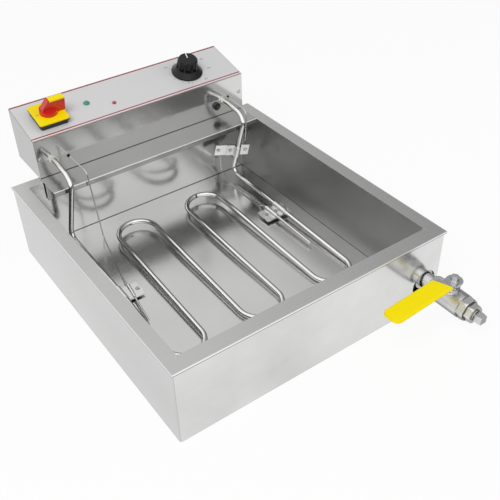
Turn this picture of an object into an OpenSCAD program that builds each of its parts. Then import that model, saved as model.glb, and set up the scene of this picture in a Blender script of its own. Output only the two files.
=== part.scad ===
// Electric funnel cake fryer: a shallow stainless tank with a drain valve and a lift-out control head.
// Frame: X to the right, Y away from the operator, Z up. The origin is on the table under the middle of the tank.

/* [Tank] */
// Width of the tank over its rim
tank_w = 480; // [470:1:560]
// Depth of the tank over its rim, front to back
tank_d = 514; // [500:1:600]
// Height of the rim above the table
tank_h = 134; // [126:1:170]
// Thickness of all stainless sheet
sheet = 1.2; // [1:0.1:1.5]
// Width of the rim along each side
rim_side = 23; // [20:1:26]
// Width of the rim along the front
rim_front = 26; // [20:1:32]
// Width of the rim along the back
rim_rear = 20; // [18:1:24]
// Height of the turned-down edge round the rim
rim_edge_h = 7; // [5:0.5:10]
// Depth of the oil pan below the rim
pan_depth = 117; // [105:1:120]
// Corner radius of the oil pan
pan_corner_r = 3; // [2:0.5:10]
// Corner radius of the outer casing
casing_corner_r = 4; // [3:0.5:8]
// Width of the return that is folded in along the foot of the casing
casing_return_w = 16; // [12:1:24]

/* [Drain] */
// Distance from the right side of the tank to the drain axis
drain_from_side = 31; // [29:1:60]
// Height of the drain axis above the table
drain_h = 54.5; // [50:0.5:60]
// Outside diameter of the drain pipe
pipe_d = 26.7; // [24:0.1:27.5]
// Bore of the drain pipe and of the valve
pipe_bore = 19; // [16:0.5:20]
// Diameter of the clearance hole in the front of the casing
casing_hole_d = 46; // [40:1:50]
// How far the middle of that hole lies below the drain axis
casing_hole_drop = 6; // [0:0.5:7]
// How far the middle of that hole lies to the left of the drain axis
casing_hole_left = 2.5; // [0:0.5:4]
// Gap between the rim and the near end of the valve
valve_standoff = 14.5; // [10:0.5:25]
// Length of the valve from pipe to outlet
valve_l = 73; // [70:1:84]
// Diameter of the valve barrel
valve_d = 38; // [36:0.5:42]
// Width across the flats of the valve ends
valve_hex = 32; // [31.5:0.5:35]
// Length of the hexagon end cap that shows
end_cap_l = 12; // [11:0.5:14]
// Diameter of the valve ball
ball_d = 27; // [26.5:0.5:28]
// Diameter of the valve stem
stem_d = 9; // [8:0.5:10]
// Height of the lever plate above the valve axis
lever_rise = 32; // [31:0.5:38]
// How far the lever steps up on its way to the grip
lever_step = 8; // [4:0.5:12]
// Length of the lever from the stem to its tip
lever_l = 138; // [100:1:140]
// How far the closed lever stands off the line across the valve
lever_rest = 3; // [0:1:5]
// Width of the yellow lever sleeve
sleeve_w = 31; // [28:1:34]
// Thickness of the yellow lever sleeve
sleeve_t = 7; // [6:0.5:9]
// Width across the flats of the outlet bushing
bushing_hex = 27; // [24:0.5:30]
// Length of the outlet bushing that shows
bushing_l = 11; // [8:0.5:14]
// Diameter of the plug shank
plug_d = 16; // [14:0.5:17]
// Width across the flats of the square plug head
plug_square = 13; // [11:0.5:15]
// Length of the square plug head
plug_head_l = 13; // [9:0.5:16]

/* [Control head] */
// How far each end of the head would stay inside the tank's rim if the head sat in the middle
head_inset = 34; // [32:0.5:38]
// How far the head sits to the right of the middle of the tank
head_shift = 15; // [0:1:16]
// Depth of the head, front to back
head_d = 92; // [86:1:110]
// Height of the head at its front
head_front_h = 69.5; // [66:0.5:80]
// Height of the head at its back
head_rear_h = 92; // [88:0.5:110]
// How far the head stands over the back rim
head_overlap = 9; // [6:0.5:12]
// Depth of the shelf in front of the head
shelf_d = 53; // [48:1:58]
// How much shorter the shelf is than the head at its right end
shelf_short = 4; // [0:0.5:8]
// Height of the turned-down lip along the front of the shelf
lip_h = 9; // [6:0.5:12]
// Height of the plate that hooks behind the back rim
hook_h = 34; // [24:1:45]
// Gap between the hook plate and the back wall of the pan
hook_gap = 3; // [1:0.5:5]
// Width of the flanges that carry the front panel and the back cover
head_flange_w = 14; // [12:0.5:20]

/* [Controls] */
// Distance of the switch from the left end of the head
switch_from_end = 49; // [40:1:80]
// Width of the square switch plate
switch_plate_w = 53; // [48:1:58]
// Height of the black switch base above the panel
switch_base_h = 10; // [7:0.5:12]
// Thickness of the yellow switch plate
switch_plate_t = 3; // [2:0.5:4]
// Diameter of the round foot of the red handle
handle_foot_d = 30; // [26:1:34]
// Reach of the red grip from the switch axis
grip_reach = 28; // [26:1:32]
// Height of the red grip above the switch plate
grip_h = 26; // [22:0.5:30]
// Width of the red grip
grip_w = 11; // [8:0.5:12]
// Distance of the temperature knob from the right end of the head
knob_from_end = 89; // [70:1:110]
// Diameter of the skirt of the temperature knob
knob_skirt_d = 57; // [50:1:64]
// Height of the knob skirt
knob_skirt_h = 9; // [7:0.5:11]
// Height of the whole knob above the panel
knob_h = 29; // [26:0.5:34]
// Diameter of the fluted grip at its top
knob_grip_d = 36; // [32:0.5:40]
// Turn of the knob pointer to the right of straight up
knob_rest = 16; // [0:1:30]
// Number of finger flutes round the grip
knob_flutes = 9; // [7:1:12]
// Diameter of the control shafts
shaft_d = 6; // [5:0.5:8]
// Distance of the green lamp from the left end of the head
green_from_end = 121; // [110:1:140]
// Diameter of the green lamp
green_d = 11; // [9:0.5:13]
// Distance of the red lamp from the left end of the head
red_from_end = 163.5; // [150:0.5:180]
// Diameter of the red lamp
red_d = 7; // [6:0.5:9]
// Distance of the reset button from the right end of the head
reset_from_end = 58.5; // [54:0.5:70]
// Height of the reset button above the shelf
reset_rise = 21; // [18:0.5:26]
// Diameter of the collar round the reset button
reset_collar_d = 15; // [13:0.5:18]
// Diameter of the reset button
reset_button_d = 7; // [5:0.5:8]
// How far the reset button can be pushed
reset_travel = 2.5; // [1.5:0.5:3]

/* [Heating element] */
// Diameter of the element tube
tube_d = 8.5; // [8:0.1:9]
// Gap between the element and the floor of the pan, under the front bends
element_lift = 1; // [0.5:0.5:6]
// How much higher the element lies under the back bends
element_rise = 8; // [0:0.5:10]
// Distance of the leftmost run from the left wall of the pan
left_run_gap = 49; // [44:0.5:54]
// Distance of the rightmost run from the right wall of the pan
right_run_gap = 48; // [44:0.5:52]
// Distance between the two runs at the left
left_pitch = 57; // [54:0.5:62]
// How much closer these two runs lie at the front
front_pinch = 5; // [0:0.5:8]
// Distance of the front bends from the front wall of the pan
front_bend_gap = 75; // [58:1:90]
// Distance of the rear bends from the back wall of the pan
rear_bend_gap = 55; // [52:1:80]
// Height above the shelf where the legs leave the head
leg_rise = 27.5; // [26:0.5:32]
// Distance of the left leg from the left end of the head
left_leg_from_end = 28; // [24:0.5:32]
// Distance of the right leg from the right end of the head
right_leg_from_end = 41.5; // [39:0.5:48]
// Distance that the legs reach forward of the head before they turn down
leg_reach = 67.5; // [66:0.5:74]
// How far the legs drop on their way forward
leg_drop = 7; // [4:0.5:9]
// How far the legs slope back again on their way down
leg_lean = 31; // [24:0.5:34]
// Bend radius at the top of the legs
top_bend_r = 20; // [16:0.5:24]
// Bend radius at the foot of the legs
foot_bend_r = 14; // [12:0.5:20]
// Bend radius of the slight droop outside the head
droop_bend_r = 30; // [20:1:40]

/* [Brackets and sensors] */
// Thickness of the bracket plates and straps
strap_t = 1.5; // [1:0.1:2]
// Length of the bracket straps along the tube that they hold
strap_l = 31; // [26:1:36]
// Place of the lower right bracket, from the middle of the tank
right_bracket_y = 61; // [40:1:90]
// Place of the left bracket, from the middle of the tank
left_bracket_y = 23; // [5:1:60]
// Height of the leg bracket above the pan floor
leg_bracket_rise = 62; // [50:1:66]
// Height of the leg bracket along the leg
leg_bracket_h = 24; // [20:0.5:28]
// Turn of the leg bracket about the leg, seen from above
leg_bracket_turn = 17; // [10:1:20]
// Diameter of the bracket screws
screw_d = 4; // [3:0.5:5]
// Diameter of the thermostat bulb
bulb_d = 6; // [5:0.5:7]
// Length of the thermostat bulb
bulb_l = 130; // [100:1:140]
// Distance of the thermostat bulb from the tube that shares its bracket
bulb_offset = 18.5; // [17:0.5:20]
// Diameter of the high-limit bulb
probe_d = 3.2; // [3:0.1:4]
// Length of the high-limit bulb
probe_l = 96; // [80:1:110]
// Distance of the high-limit bulb from the tube that shares its bracket
probe_offset = 17; // [15:0.5:19]
// Angle between the high-limit bulb and the tube
probe_turn = 8; // [5:0.5:8]
// Diameter of the two capillary tubes
capillary_d = 2.2; // [1.6:0.1:2.4]

/* [Hidden] */

$fn = 48;
// Facet count of thin rods and of small holes
rod_fn = 24;
// Cutting tools pass this far beyond the face they cut
over = 1;
// Gap between fixed pieces that fit into each other
fit = 0.1;
// Gap between a turning or sliding piece and its bearing
running = 0.08;
// Gap between separate bodies at rest
seat = 0.3;
eps = 0.01;
// Straight tube reaches this far over its bends, which are thinner by as much
bend_lap = 0.04;

half_w = tank_w / 2;
half_d = tank_d / 2;
pan_x = half_w - rim_side;
pan_front = -half_d + rim_front;
pan_rear = half_d - rim_rear;
floor_z = tank_h - pan_depth;
rim_under = tank_h - sheet;
casing_x = half_w - sheet - seat;
casing_y = half_d - sheet - seat;
base_inset = 1;

drain_x = half_w - drain_from_side;
valve_y = -half_d - valve_standoff;
stem_y = valve_y - valve_l / 2;
body_l = valve_l - end_cap_l;
ball_r = ball_d / 2;
lever_t = 3;
lever_w = 24;
nut_hex = 12.5;
nut_h = 7;
thread_l = 9;
coupling_d = 36;
coupling_l = pan_front + casing_y - 2 * sheet - 2 * seat - 1;
seat_l = 5;

head_w = tank_w - 2 * head_inset;
head_x0 = head_shift - head_w / 2;
head_x1 = head_shift + head_w / 2;
head_y0 = half_d - head_overlap;
head_y1 = head_y0 + head_d;
shelf_z = tank_h + seat + sheet;
shelf_x1 = head_x1 - shelf_short;
shelf_y0 = head_y0 - shelf_d;
slope = atan((head_rear_h - head_front_h) / head_d);
panel_l = head_d / cos(slope);
overlay_t = 0.4;
sheet_drop = sheet / cos(slope);

switch_x = head_x0 + switch_from_end;
switch_s = 42.5;
knob_x = head_x1 - knob_from_end;
knob_s = 48;
green_x = head_x0 + green_from_end;
green_s = 49;
red_x = head_x0 + red_from_end;
red_s = 29;
plate_top = overlay_t + switch_base_h + switch_plate_t;
switch_hole_d = shaft_d + 6;
plate_corner_r = 4;
lamp_barrel = 0.72;
lamp_depth = 18;
reset_x = head_x1 - reset_from_end;
reset_z = shelf_z + reset_rise;
reset_collar_h = 4;
reset_barrel_d = reset_button_d + 4;
reset_barrel_l = 9;
reset_room = 4;

tube_r = tube_d / 2;
front_bend_y = pan_front + front_bend_gap;
rear_bend_y = pan_rear - rear_bend_gap;
element_tilt = asin(element_rise / (rear_bend_y - front_bend_y));
run_z = floor_z + element_lift + tube_r - front_bend_y * sin(element_tilt);
left_run_x = left_run_gap - pan_x;
right_run_x = pan_x - right_run_gap;
run_pitch = (right_run_x - left_run_x - left_pitch) / 4;
run_x = [left_run_x, left_run_x + left_pitch, right_run_x - 3 * run_pitch, right_run_x - 2 * run_pitch,
  right_run_x - run_pitch, right_run_x];
left_leg_x = head_x0 + left_leg_from_end;
right_leg_x = head_x1 - right_leg_from_end;
leg_z = shelf_z + leg_rise;
leg_inside = 34;
droop_y = head_y0 - 16;
knee_y = head_y0 - leg_reach;
knee_z = leg_z - leg_drop;
foot_y = knee_y + leg_lean;
split_y = knee_y + 12;
strap_r = tube_r + fit;
gland_hex = 14;
gland_h = 5;
washer_d = 16.5;
washer_t = 1.5;

gland_from_end = 45;
gland_rise = 30;
gland_x = head_x0 + gland_from_end;
gland_z = shelf_z + gland_rise;
cable_d = 13;
gland_flats = 25;
gland_flange_h = 5;
gland_thread_l = 13;
gland_inside_l = 9;
gland_backnut_h = 6;
gland_nut_flats = 24;
gland_nut_h = 10;
gland_nose_l = 6;
gland_nose_d = 17;
gland_barrel_d = 20;

// Unit vector along v
function unit(v) = v / norm(v);

// Rounded rectangle of width w and depth d about the origin, with corner radius r
module round_rect(w, d, r) {
  square([w - 2 * r, d], center = true);
  square([w, d - 2 * r], center = true);
  for (sx = [-1, 1], sy = [-1, 1])
    translate([sx * (w / 2 - r), sy * (d / 2 - r)]) circle(r);
}

// Places its children at p, with local Z along way and local X as near to side as it can be
module along(p, way, side = [1, 0, 0]) {
  z = unit(way);
  y = unit(cross(z, side));
  x = cross(y, z);
  multmatrix([[x[0], y[0], z[0], p[0]], [x[1], y[1], z[1], p[1]], [x[2], y[2], z[2], p[2]], [0, 0, 0, 1]])
    children();
}

// Distance from the corner p to where its bend of radius r begins
function bend_start(a, p, b, r) = r / tan(acos(unit(a - p) * unit(b - p)) / 2);

// Lays a tube from points[i] on. Local Z runs along the tube, x is its local X,
// and used is the length that the bend before has already taken
module tube_from(points, radii, d, i, x, used) {
  p = points[i];
  q = points[i + 1];
  z = unit(q - p);
  more = i + 2 < len(points);
  taken = more ? bend_start(p, q, points[i + 2], radii[i + 1]) : 0;
  straight = norm(q - p) - used - taken;
  if (straight > bend_lap) translate([0, 0, i == 0 ? 0 : -bend_lap])
    cylinder(h = straight + (i == 0 ? 0 : bend_lap) + (more ? bend_lap : 0), d = d, $fn = rod_fn);
  if (more) {
    r = radii[i + 1];
    next = unit(points[i + 2] - q);
    turn = acos(z * next);
    roll = atan2(next * cross(z, x), next * x);
    side = cos(roll) * x + sin(roll) * cross(z, x);
    translate([0, 0, straight]) rotate([0, 0, roll]) {
      translate([r, 0, 0]) rotate([90, 0, 180]) rotate_extrude(angle = turn, $fn = 2 * rod_fn)
        translate([r, 0]) circle(d = d - bend_lap, $fn = rod_fn);
      translate([r, 0, 0]) rotate([0, turn, 0]) translate([-r, 0, 0])
        tube_from(points, radii, d, i + 1, cos(turn) * side - sin(turn) * z, taken);
    }
  }
}

// Round tube of diameter d through the points, with a bend radius at each inner point
module bent_tube(points, radii, d, side = [1, 0, 0]) {
  z = unit(points[1] - points[0]);
  y = unit(cross(z, side));
  along(points[0], z, side) tube_from(points, radii, d, 0, cross(y, z), 0);
}

// Rod of length l with a rounded far end
module bulb(d, l) {
  cylinder(h = l - d / 2, d = d, $fn = 2 * rod_fn);
  translate([0, 0, l - d / 2]) sphere(d = d, $fn = 2 * rod_fn);
}

// Places its children at x, with local Z pointing out of the valve towards the operator
module along_drain(y) {
  translate([drain_x, y, drain_h]) rotate([90, 0, 0]) children();
}

// Hexagon prism of width w across the flats
module hexagon(w, h) {
  cylinder(h = h, d = w / cos(30), $fn = 6);
}

// Places its children on the sloping panel: s runs up the slope, local Z stands out of it
module on_panel(x, s, h = 0) {
  translate([x, head_y0, shelf_z + head_front_h]) rotate([slope, 0, 0]) translate([0, s, h]) children();
}

// Slab across the head whose section in Y and Z is given by points
module head_slab(points, x0, x1) {
  translate([x0, 0, 0]) rotate([90, 0, 90]) linear_extrude(x1 - x0) polygon(points);
}

// Height of the top of the head at a given y
function top_z(y) = shelf_z + head_front_h + (y - head_y0) * tan(slope);

// Places its children on the front of the head: local Z points at the operator
module on_front(x, z, out = 0) {
  translate([x, head_y0 - out, z]) rotate([90, 0, 0]) children();
}

// Places its children on the back of the head: local Z points away from the operator
module on_back(x, z, out = 0) {
  translate([x, head_y1 + out, z]) rotate([-90, 0, 0]) children();
}

// Pan-head screw that stands on z = 0 and reaches down by l
module pan_screw(d, l) {
  difference() {
    union() {
      cylinder(h = 0.55 * d, d1 = 1.9 * d, d2 = 1.5 * d, $fn = rod_fn);
      translate([0, 0, -l]) cylinder(h = l + eps, d = d, $fn = rod_fn);
    }
    for (turn = [0, 90]) rotate([0, 0, turn])
      translate([-0.6 * d, -0.12 * d, 0.25 * d]) cube([1.2 * d, 0.24 * d, d]);
  }
}

// Tank

module oil_pan() {
  mid_y = (pan_front + pan_rear) / 2;
  pan_l = pan_rear - pan_front;
  color("silver") difference() {
    union() {
      translate([-half_w, -half_d, rim_under]) cube([tank_w, tank_d, sheet]);
      difference() {
        translate([-half_w, -half_d, tank_h - rim_edge_h]) cube([tank_w, tank_d, rim_edge_h]);
        translate([-half_w + sheet, -half_d + sheet, tank_h - rim_edge_h - over])
          cube([tank_w - 2 * sheet, tank_d - 2 * sheet, rim_edge_h + 2 * over]);
      }
      translate([0, mid_y, floor_z - sheet]) linear_extrude(pan_depth + sheet / 2)
        round_rect(2 * (pan_x + sheet), pan_l + 2 * sheet, pan_corner_r + sheet);
    }
    translate([0, mid_y, floor_z]) linear_extrude(pan_depth + over)
      round_rect(2 * pan_x, pan_l, pan_corner_r);
    along_drain(pan_front + over) cylinder(h = sheet + 2 * over, d = pipe_d + 2 * fit);
  }
}

module outer_casing() {
  inner_w = 2 * (casing_x - sheet);
  inner_d = 2 * (casing_y - sheet);
  color("gainsboro") difference() {
    translate([0, 0, sheet]) linear_extrude(rim_under - sheet)
      round_rect(2 * casing_x, 2 * casing_y, casing_corner_r);
    translate([0, 0, 2 * sheet]) linear_extrude(tank_h)
      round_rect(inner_w, inner_d, casing_corner_r - sheet);
    linear_extrude(3 * sheet)
      square([inner_w - 2 * casing_return_w, inner_d - 2 * casing_return_w], center = true);
    along_drain(-casing_y + sheet + over) translate([-casing_hole_left, -casing_hole_drop, 0])
      cylinder(h = sheet + 2 * over, d = casing_hole_d);
  }
}

// Flat plate welded to the underside of the casing's return
module base_plate() {
  color("silver") linear_extrude(sheet)
    round_rect(2 * (casing_x - base_inset), 2 * (casing_y - base_inset), casing_corner_r - base_inset);
}

// Drain

// Threaded pipe with the round coupling that is welded to the pan
module drain_pipe() {
  color("silver") along_drain(pan_front) difference() {
    union() {
      cylinder(h = pan_front - valve_y + thread_l, d = pipe_d);
      translate([0, 0, sheet + seat]) cylinder(h = coupling_l, d = coupling_d);
    }
    translate([0, 0, -over]) cylinder(h = pan_front - valve_y + thread_l + 2 * over, d = pipe_bore);
  }
}

module valve_body() {
  socket_l = thread_l + fit;
  boss_d = stem_d + 12;
  boss_h = lever_rise - 9;
  chamber_z = valve_l / 2 - seat_mid() - seat_l / 2;
  color("lightgray") along_drain(valve_y) difference() {
    union() {
      intersection() {
        hexagon(valve_hex, 14);
        cylinder(h = 14, d1 = valve_hex * 1.02, d2 = valve_hex * 1.3);
      }
      translate([0, 0, 10]) cylinder(h = 7, d1 = valve_hex * 0.94, d2 = valve_d);
      translate([0, 0, 17 - eps]) cylinder(h = body_l - 17, d = valve_d);
      translate([0, 0, valve_l / 2]) rotate([-90, 0, 0]) cylinder(h = boss_h, d = boss_d);
      translate([0, 0, valve_l / 2]) rotate([-90, 0, 0]) cylinder(h = boss_h - 5, d1 = boss_d + 14, d2 = boss_d + 2);
    }
    translate([0, 0, -over]) cylinder(h = socket_l + over, d = pipe_d + 2 * fit);
    cylinder(h = valve_l, d = pipe_bore);
    translate([0, 0, chamber_z]) cylinder(h = body_l - chamber_z + over, d = ball_d + 2 * fit);
    translate([0, 0, valve_l / 2]) rotate([-90, 0, 0]) cylinder(h = boss_h + over, d = stem_d + 2 * running);
  }
}

module valve_end_cap() {
  collar_l = body_l - valve_l / 2 - seat_mid() - seat_l / 2;
  color("lightgray") along_drain(valve_y) difference() {
    union() {
      translate([0, 0, body_l]) intersection() {
        hexagon(valve_hex + 1, end_cap_l);
        cylinder(h = end_cap_l, d1 = valve_hex * 1.3, d2 = valve_hex * 1.02 + 2);
      }
      translate([0, 0, body_l - collar_l]) cylinder(h = collar_l + eps, d = ball_d);
    }
    translate([0, 0, body_l - collar_l - over]) cylinder(h = valve_l, d = pipe_bore);
    translate([0, 0, valve_l - thread_l]) cylinder(h = thread_l + over, d = plug_socket_d() + 2 * fit);
  }
}

// Outside diameter of the thread of the outlet bushing
function plug_socket_d() = plug_d + 8;

// Two ring seats that close round the ball
module valve_seats() {
  color("white") along_drain(valve_y) difference() {
    translate([0, 0, valve_l / 2]) for (side = [-1, 1]) translate([0, 0, side * seat_mid() - seat_l / 2])
      difference() {
        cylinder(h = seat_l, d = ball_d);
        translate([0, 0, -over]) cylinder(h = seat_l + 2 * over, d = pipe_bore);
      }
    translate([0, 0, valve_l / 2]) sphere(d = ball_d + 2 * running);
  }
}

// Distance of the middle of each seat from the middle of the ball
function seat_mid() = ball_r * 0.78 + seat_l / 4;

// Places its children on the stem axis, h above the drain, turned with the lever
module on_stem(h) {
  translate([drain_x, stem_y, drain_h + h]) rotate([0, 0, lever_rest]) children();
}

module valve_ball() {
  color("silver") on_stem(0) difference() {
    sphere(d = ball_d);
    rotate([0, 90, 0]) translate([0, 0, -ball_d]) cylinder(h = 2 * ball_d, d = pipe_bore);
    translate([-stem_d, -1.5 - fit, ball_r - 4]) cube([2 * stem_d, 3 + 2 * fit, 8]);
  }
}

module valve_stem() {
  color("silver") on_stem(0) {
    translate([0, 0, ball_r + fit]) cylinder(h = lever_rise + lever_t + nut_h - ball_r + 1 - fit, d = stem_d);
    translate([-stem_d / 2 + 1, -1.5, ball_r - 3.5]) cube([stem_d - 2, 3, 4 + fit]);
  }
}

module packing_nut() {
  color("silver") translate([drain_x, stem_y, drain_h + lever_rise - 9]) difference() {
    hexagon(17, 7);
    translate([0, 0, -over]) cylinder(h = 9, d = stem_d + 2 * running);
  }
}

// The lever is a strip that steps up between the stem and the grip
module valve_lever() {
  step_from = 13;
  step_to = 22;
  rise = lever_step;
  color("lightsteelblue") on_stem(lever_rise) difference() {
    union() {
      cylinder(h = lever_t, d = lever_w + 2);
      rotate([90, 0, 180]) translate([0, 0, -lever_w / 2]) linear_extrude(lever_w) polygon([[0, 0], [step_from, 0],
        [step_to, rise], [lever_l - 8, rise], [lever_l - 8, rise + lever_t], [step_to - 1, rise + lever_t],
        [step_from - 1, lever_t], [0, lever_t]]);
    }
    translate([0, 0, -over]) cylinder(h = lever_t + 2 * over, d = stem_d + 2 * fit);
  }
}

// Dipped grip with rounded sides, a rounded tip and a slanted root
module lever_sleeve() {
  root = 24;
  slant = 11;
  back_r = 8;
  front_r = 13;
  mid_z = lever_step + lever_t / 2;
  half = sleeve_w / 2;
  color("gold") on_stem(lever_rise) difference() {
    intersection() {
      translate([0, 0, mid_z - sleeve_t / 2]) linear_extrude(sleeve_t) union() {
        polygon([[-root, -half], [-root - slant, half], [-lever_l + back_r, half], [-lever_l, half - back_r],
          [-lever_l, -half + front_r], [-lever_l + front_r, -half]]);
        translate([-lever_l + back_r, half - back_r]) circle(back_r);
        translate([-lever_l + front_r, -half + front_r]) circle(front_r);
      }
      translate([-lever_l - over, 0, mid_z]) rotate([90, 0, 90]) linear_extrude(lever_l + 2 * over) union() {
        square([sleeve_w - sleeve_t, sleeve_t], center = true);
        for (side = [-1, 1]) translate([side * (sleeve_w - sleeve_t) / 2, 0]) circle(d = sleeve_t, $fn = rod_fn);
      }
    }
    translate([-lever_l + 8 - fit, -lever_w / 2 - fit, lever_step - fit])
      cube([lever_l, lever_w + 2 * fit, lever_t + 2 * fit]);
  }
}

module lever_nut() {
  color("silver") on_stem(lever_rise + lever_t) difference() {
    union() {
      hexagon(nut_hex, nut_h);
      cylinder(h = 1, d = nut_hex + 3);
    }
    translate([0, 0, -over]) cylinder(h = nut_h + 2 * over, d = stem_d + 2 * fit);
  }
}

module outlet_bushing() {
  color("silver") along_drain(valve_y - valve_l) difference() {
    union() {
      intersection() {
        hexagon(bushing_hex, bushing_l);
        cylinder(h = bushing_l, d1 = bushing_hex * 1.2, d2 = bushing_hex * 1.05);
      }
      translate([0, 0, -thread_l + fit]) cylinder(h = thread_l, d = plug_socket_d());
    }
    translate([0, 0, -thread_l - over]) cylinder(h = thread_l + bushing_l + 2 * over, d = plug_d + 2 * running);
  }
}

module drain_plug() {
  color("silver") along_drain(valve_y - valve_l - bushing_l) {
    translate([0, 0, -10]) cylinder(h = 10 + seat + 1.5, d = plug_d);
    translate([0, 0, seat + 1.5]) intersection() {
      translate([-plug_square / 2, -plug_square / 2, -eps]) cube([plug_square, plug_square, plug_head_l]);
      translate([0, 0, -over]) cylinder(h = plug_head_l + over, d1 = plug_square * 1.5, d2 = plug_square * 1.3);
    }
    cylinder_z = seat;
    translate([0, 0, cylinder_z]) cylinder(h = 1.5, d = plug_d + 3);
  }
}

// Control head

module head_chassis() {
  back_in = head_y1 - sheet;
  front_in = head_y0 + sheet;
  color("gainsboro") difference() {
    union() {
      head_slab([[front_in, shelf_z], [back_in, shelf_z], [back_in, top_z(back_in)],
        [front_in, top_z(front_in)]], head_x0, head_x1);
      head_slab([[head_y0, top_z(head_y0) - sheet_drop], [head_y1, top_z(head_y1) - sheet_drop],
        [head_y1, top_z(head_y1)], [head_y0, top_z(head_y0)]], head_x0, head_x1);
    }
    head_slab([[front_in + sheet, shelf_z - over], [back_in - sheet, shelf_z - over],
      [back_in - sheet, top_z(back_in - sheet) - sheet_drop],
      [front_in + sheet, top_z(front_in + sheet) - sheet_drop]], head_x0 + sheet, head_x1 - sheet);
    translate([head_x0 + head_flange_w, head_y0 - over, shelf_z - over])
      cube([head_w - 2 * head_flange_w, 2 * sheet + 2 * over, head_front_h - sheet_drop - sheet + over]);
    translate([head_x0 + head_flange_w, back_in - sheet - over, shelf_z + head_flange_w])
      cube([head_w - 2 * head_flange_w, 2 * sheet + 2 * over, head_rear_h - 2 * head_flange_w]);
    panel_holes();
    for (x = front_screw_x()) on_front(x, front_screw_z(), -4 * sheet)
      cylinder(h = 5 * sheet, d = screw_d + 2 * fit, $fn = rod_fn);
    for (p = cover_screw_places()) on_back(p[0], p[1], -4 * sheet)
      cylinder(h = 5 * sheet, d = screw_d + 2 * fit, $fn = rod_fn);
  }
}

// Holes for the controls through the sloping panel
module panel_holes() {
  on_panel(switch_x, switch_s, -2 * sheet - over) cylinder(h = 4 * sheet + 2 * over, d = switch_hole_d);
  on_panel(knob_x, knob_s, -2 * sheet - over) cylinder(h = 4 * sheet + 2 * over, d = shaft_d + 4);
  on_panel(green_x, green_s, -2 * sheet - over) cylinder(h = 4 * sheet + 2 * over, d = green_d * lamp_barrel + 2 * fit);
  on_panel(red_x, red_s, -2 * sheet - over) cylinder(h = 4 * sheet + 2 * over, d = red_d * lamp_barrel + 2 * fit);
}

module panel_overlay() {
  edge = 1;
  color("whitesmoke") difference() {
    on_panel(head_x0 + edge, edge, eps) cube([head_w - 2 * edge, panel_l - 2 * edge, overlay_t - eps]);
    panel_holes();
  }
}

function front_screw_x() = [head_x0 + head_flange_w / 2, head_x1 - head_flange_w / 2];
function front_screw_z() = shelf_z + head_front_h / 2;
function cover_screw_places() = [for (x = front_screw_x(), rise = [0.25, 0.75]) [x, shelf_z + head_rear_h * rise]];

module front_panel() {
  panel_h = head_front_h - sheet_drop - fit;
  color("silver") difference() {
    translate([head_x0, head_y0, shelf_z]) cube([head_w, sheet, panel_h]);
    for (x = front_screw_x()) on_front(x, front_screw_z(), -over - sheet)
      cylinder(h = sheet + 2 * over, d = screw_d + 2 * fit, $fn = rod_fn);
    for (x = [left_leg_x, right_leg_x]) on_front(x, leg_z, -over - sheet)
      cylinder(h = sheet + 2 * over, d = gland_barrel() + 2 * fit);
    for (p = capillary_exits()) on_front(p[0], p[2], -over - sheet)
      cylinder(h = sheet + 2 * over, d = capillary_d + 2, $fn = rod_fn);
    on_front(reset_x, reset_z, -over - sheet) cylinder(h = sheet + 2 * over, d = reset_barrel_d + 2 * fit);
  }
}

// Outside diameter of the threaded barrel of the element glands
function gland_barrel() = tube_d + 3;

vent_count = 6;
vent_pitch = 16;
vent_w = 4;
vent_h = 30;
vent_rise = 28;
vent_from_end = 130;

module back_cover() {
  cover_h = top_z(head_y1 - sheet) - shelf_z - sheet_drop - fit;
  color("silver") difference() {
    translate([head_x0, head_y1 - sheet, shelf_z]) cube([head_w, sheet, cover_h]);
    for (p = cover_screw_places()) on_back(p[0], p[1], -over - sheet)
      cylinder(h = sheet + 2 * over, d = screw_d + 2 * fit, $fn = rod_fn);
    on_back(gland_x, gland_z, -over - sheet) cylinder(h = sheet + 2 * over, d = gland_barrel_d + 2 * fit);
    for (i = [0 : vent_count - 1]) translate([head_x1 - vent_from_end + vent_pitch * i, head_y1 - sheet - over,
      shelf_z + vent_rise]) cube([vent_w, sheet + 2 * over, vent_h]);
  }
}

module mounting_shelf() {
  width = shelf_x1 - head_x0;
  drop_w = min(shelf_x1, pan_x - 2) - head_x0;
  hook_y = pan_rear - hook_gap - sheet;
  color("silver") {
    translate([head_x0, shelf_y0, shelf_z - sheet]) cube([width, head_y1 - shelf_y0, sheet]);
    translate([head_x0, shelf_y0, shelf_z - lip_h]) cube([drop_w, sheet, lip_h - sheet / 2]);
    translate([head_x0, hook_y, shelf_z - sheet - hook_h]) cube([drop_w, sheet, hook_h + sheet / 2]);
  }
}

module front_screws() {
  color("darkgray") for (x = front_screw_x()) on_front(x, front_screw_z()) pan_screw(screw_d, 6);
}

module cover_screws() {
  color("darkgray") for (p = cover_screw_places()) on_back(p[0], p[1]) pan_screw(screw_d, 6);
}

// Heating element

// Point of the tilted plane in which the element lies: t along the runs, h above the plane
function lying(x, t, h = 0) = [x, t * cos(element_tilt) - h * sin(element_tilt),
  run_z + t * sin(element_tilt) + h * cos(element_tilt)];

// Places its children on the run at x: local Y runs along it towards the back
module on_run(x, t) {
  translate(lying(x, t)) rotate([element_tilt, 0, 0]) children();
}

// Corner points of one leg, from inside the head down to the foot and on to the first run
function leg_points(x, foot_x) = [[x, head_y0 + leg_inside, leg_z], [x, droop_y, leg_z], [x, knee_y, knee_z],
  lying(foot_x, foot_y), lying(foot_x, split_y)];
function leg_radii() = [0, droop_bend_r, top_bend_r, foot_bend_r, 0];

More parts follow.
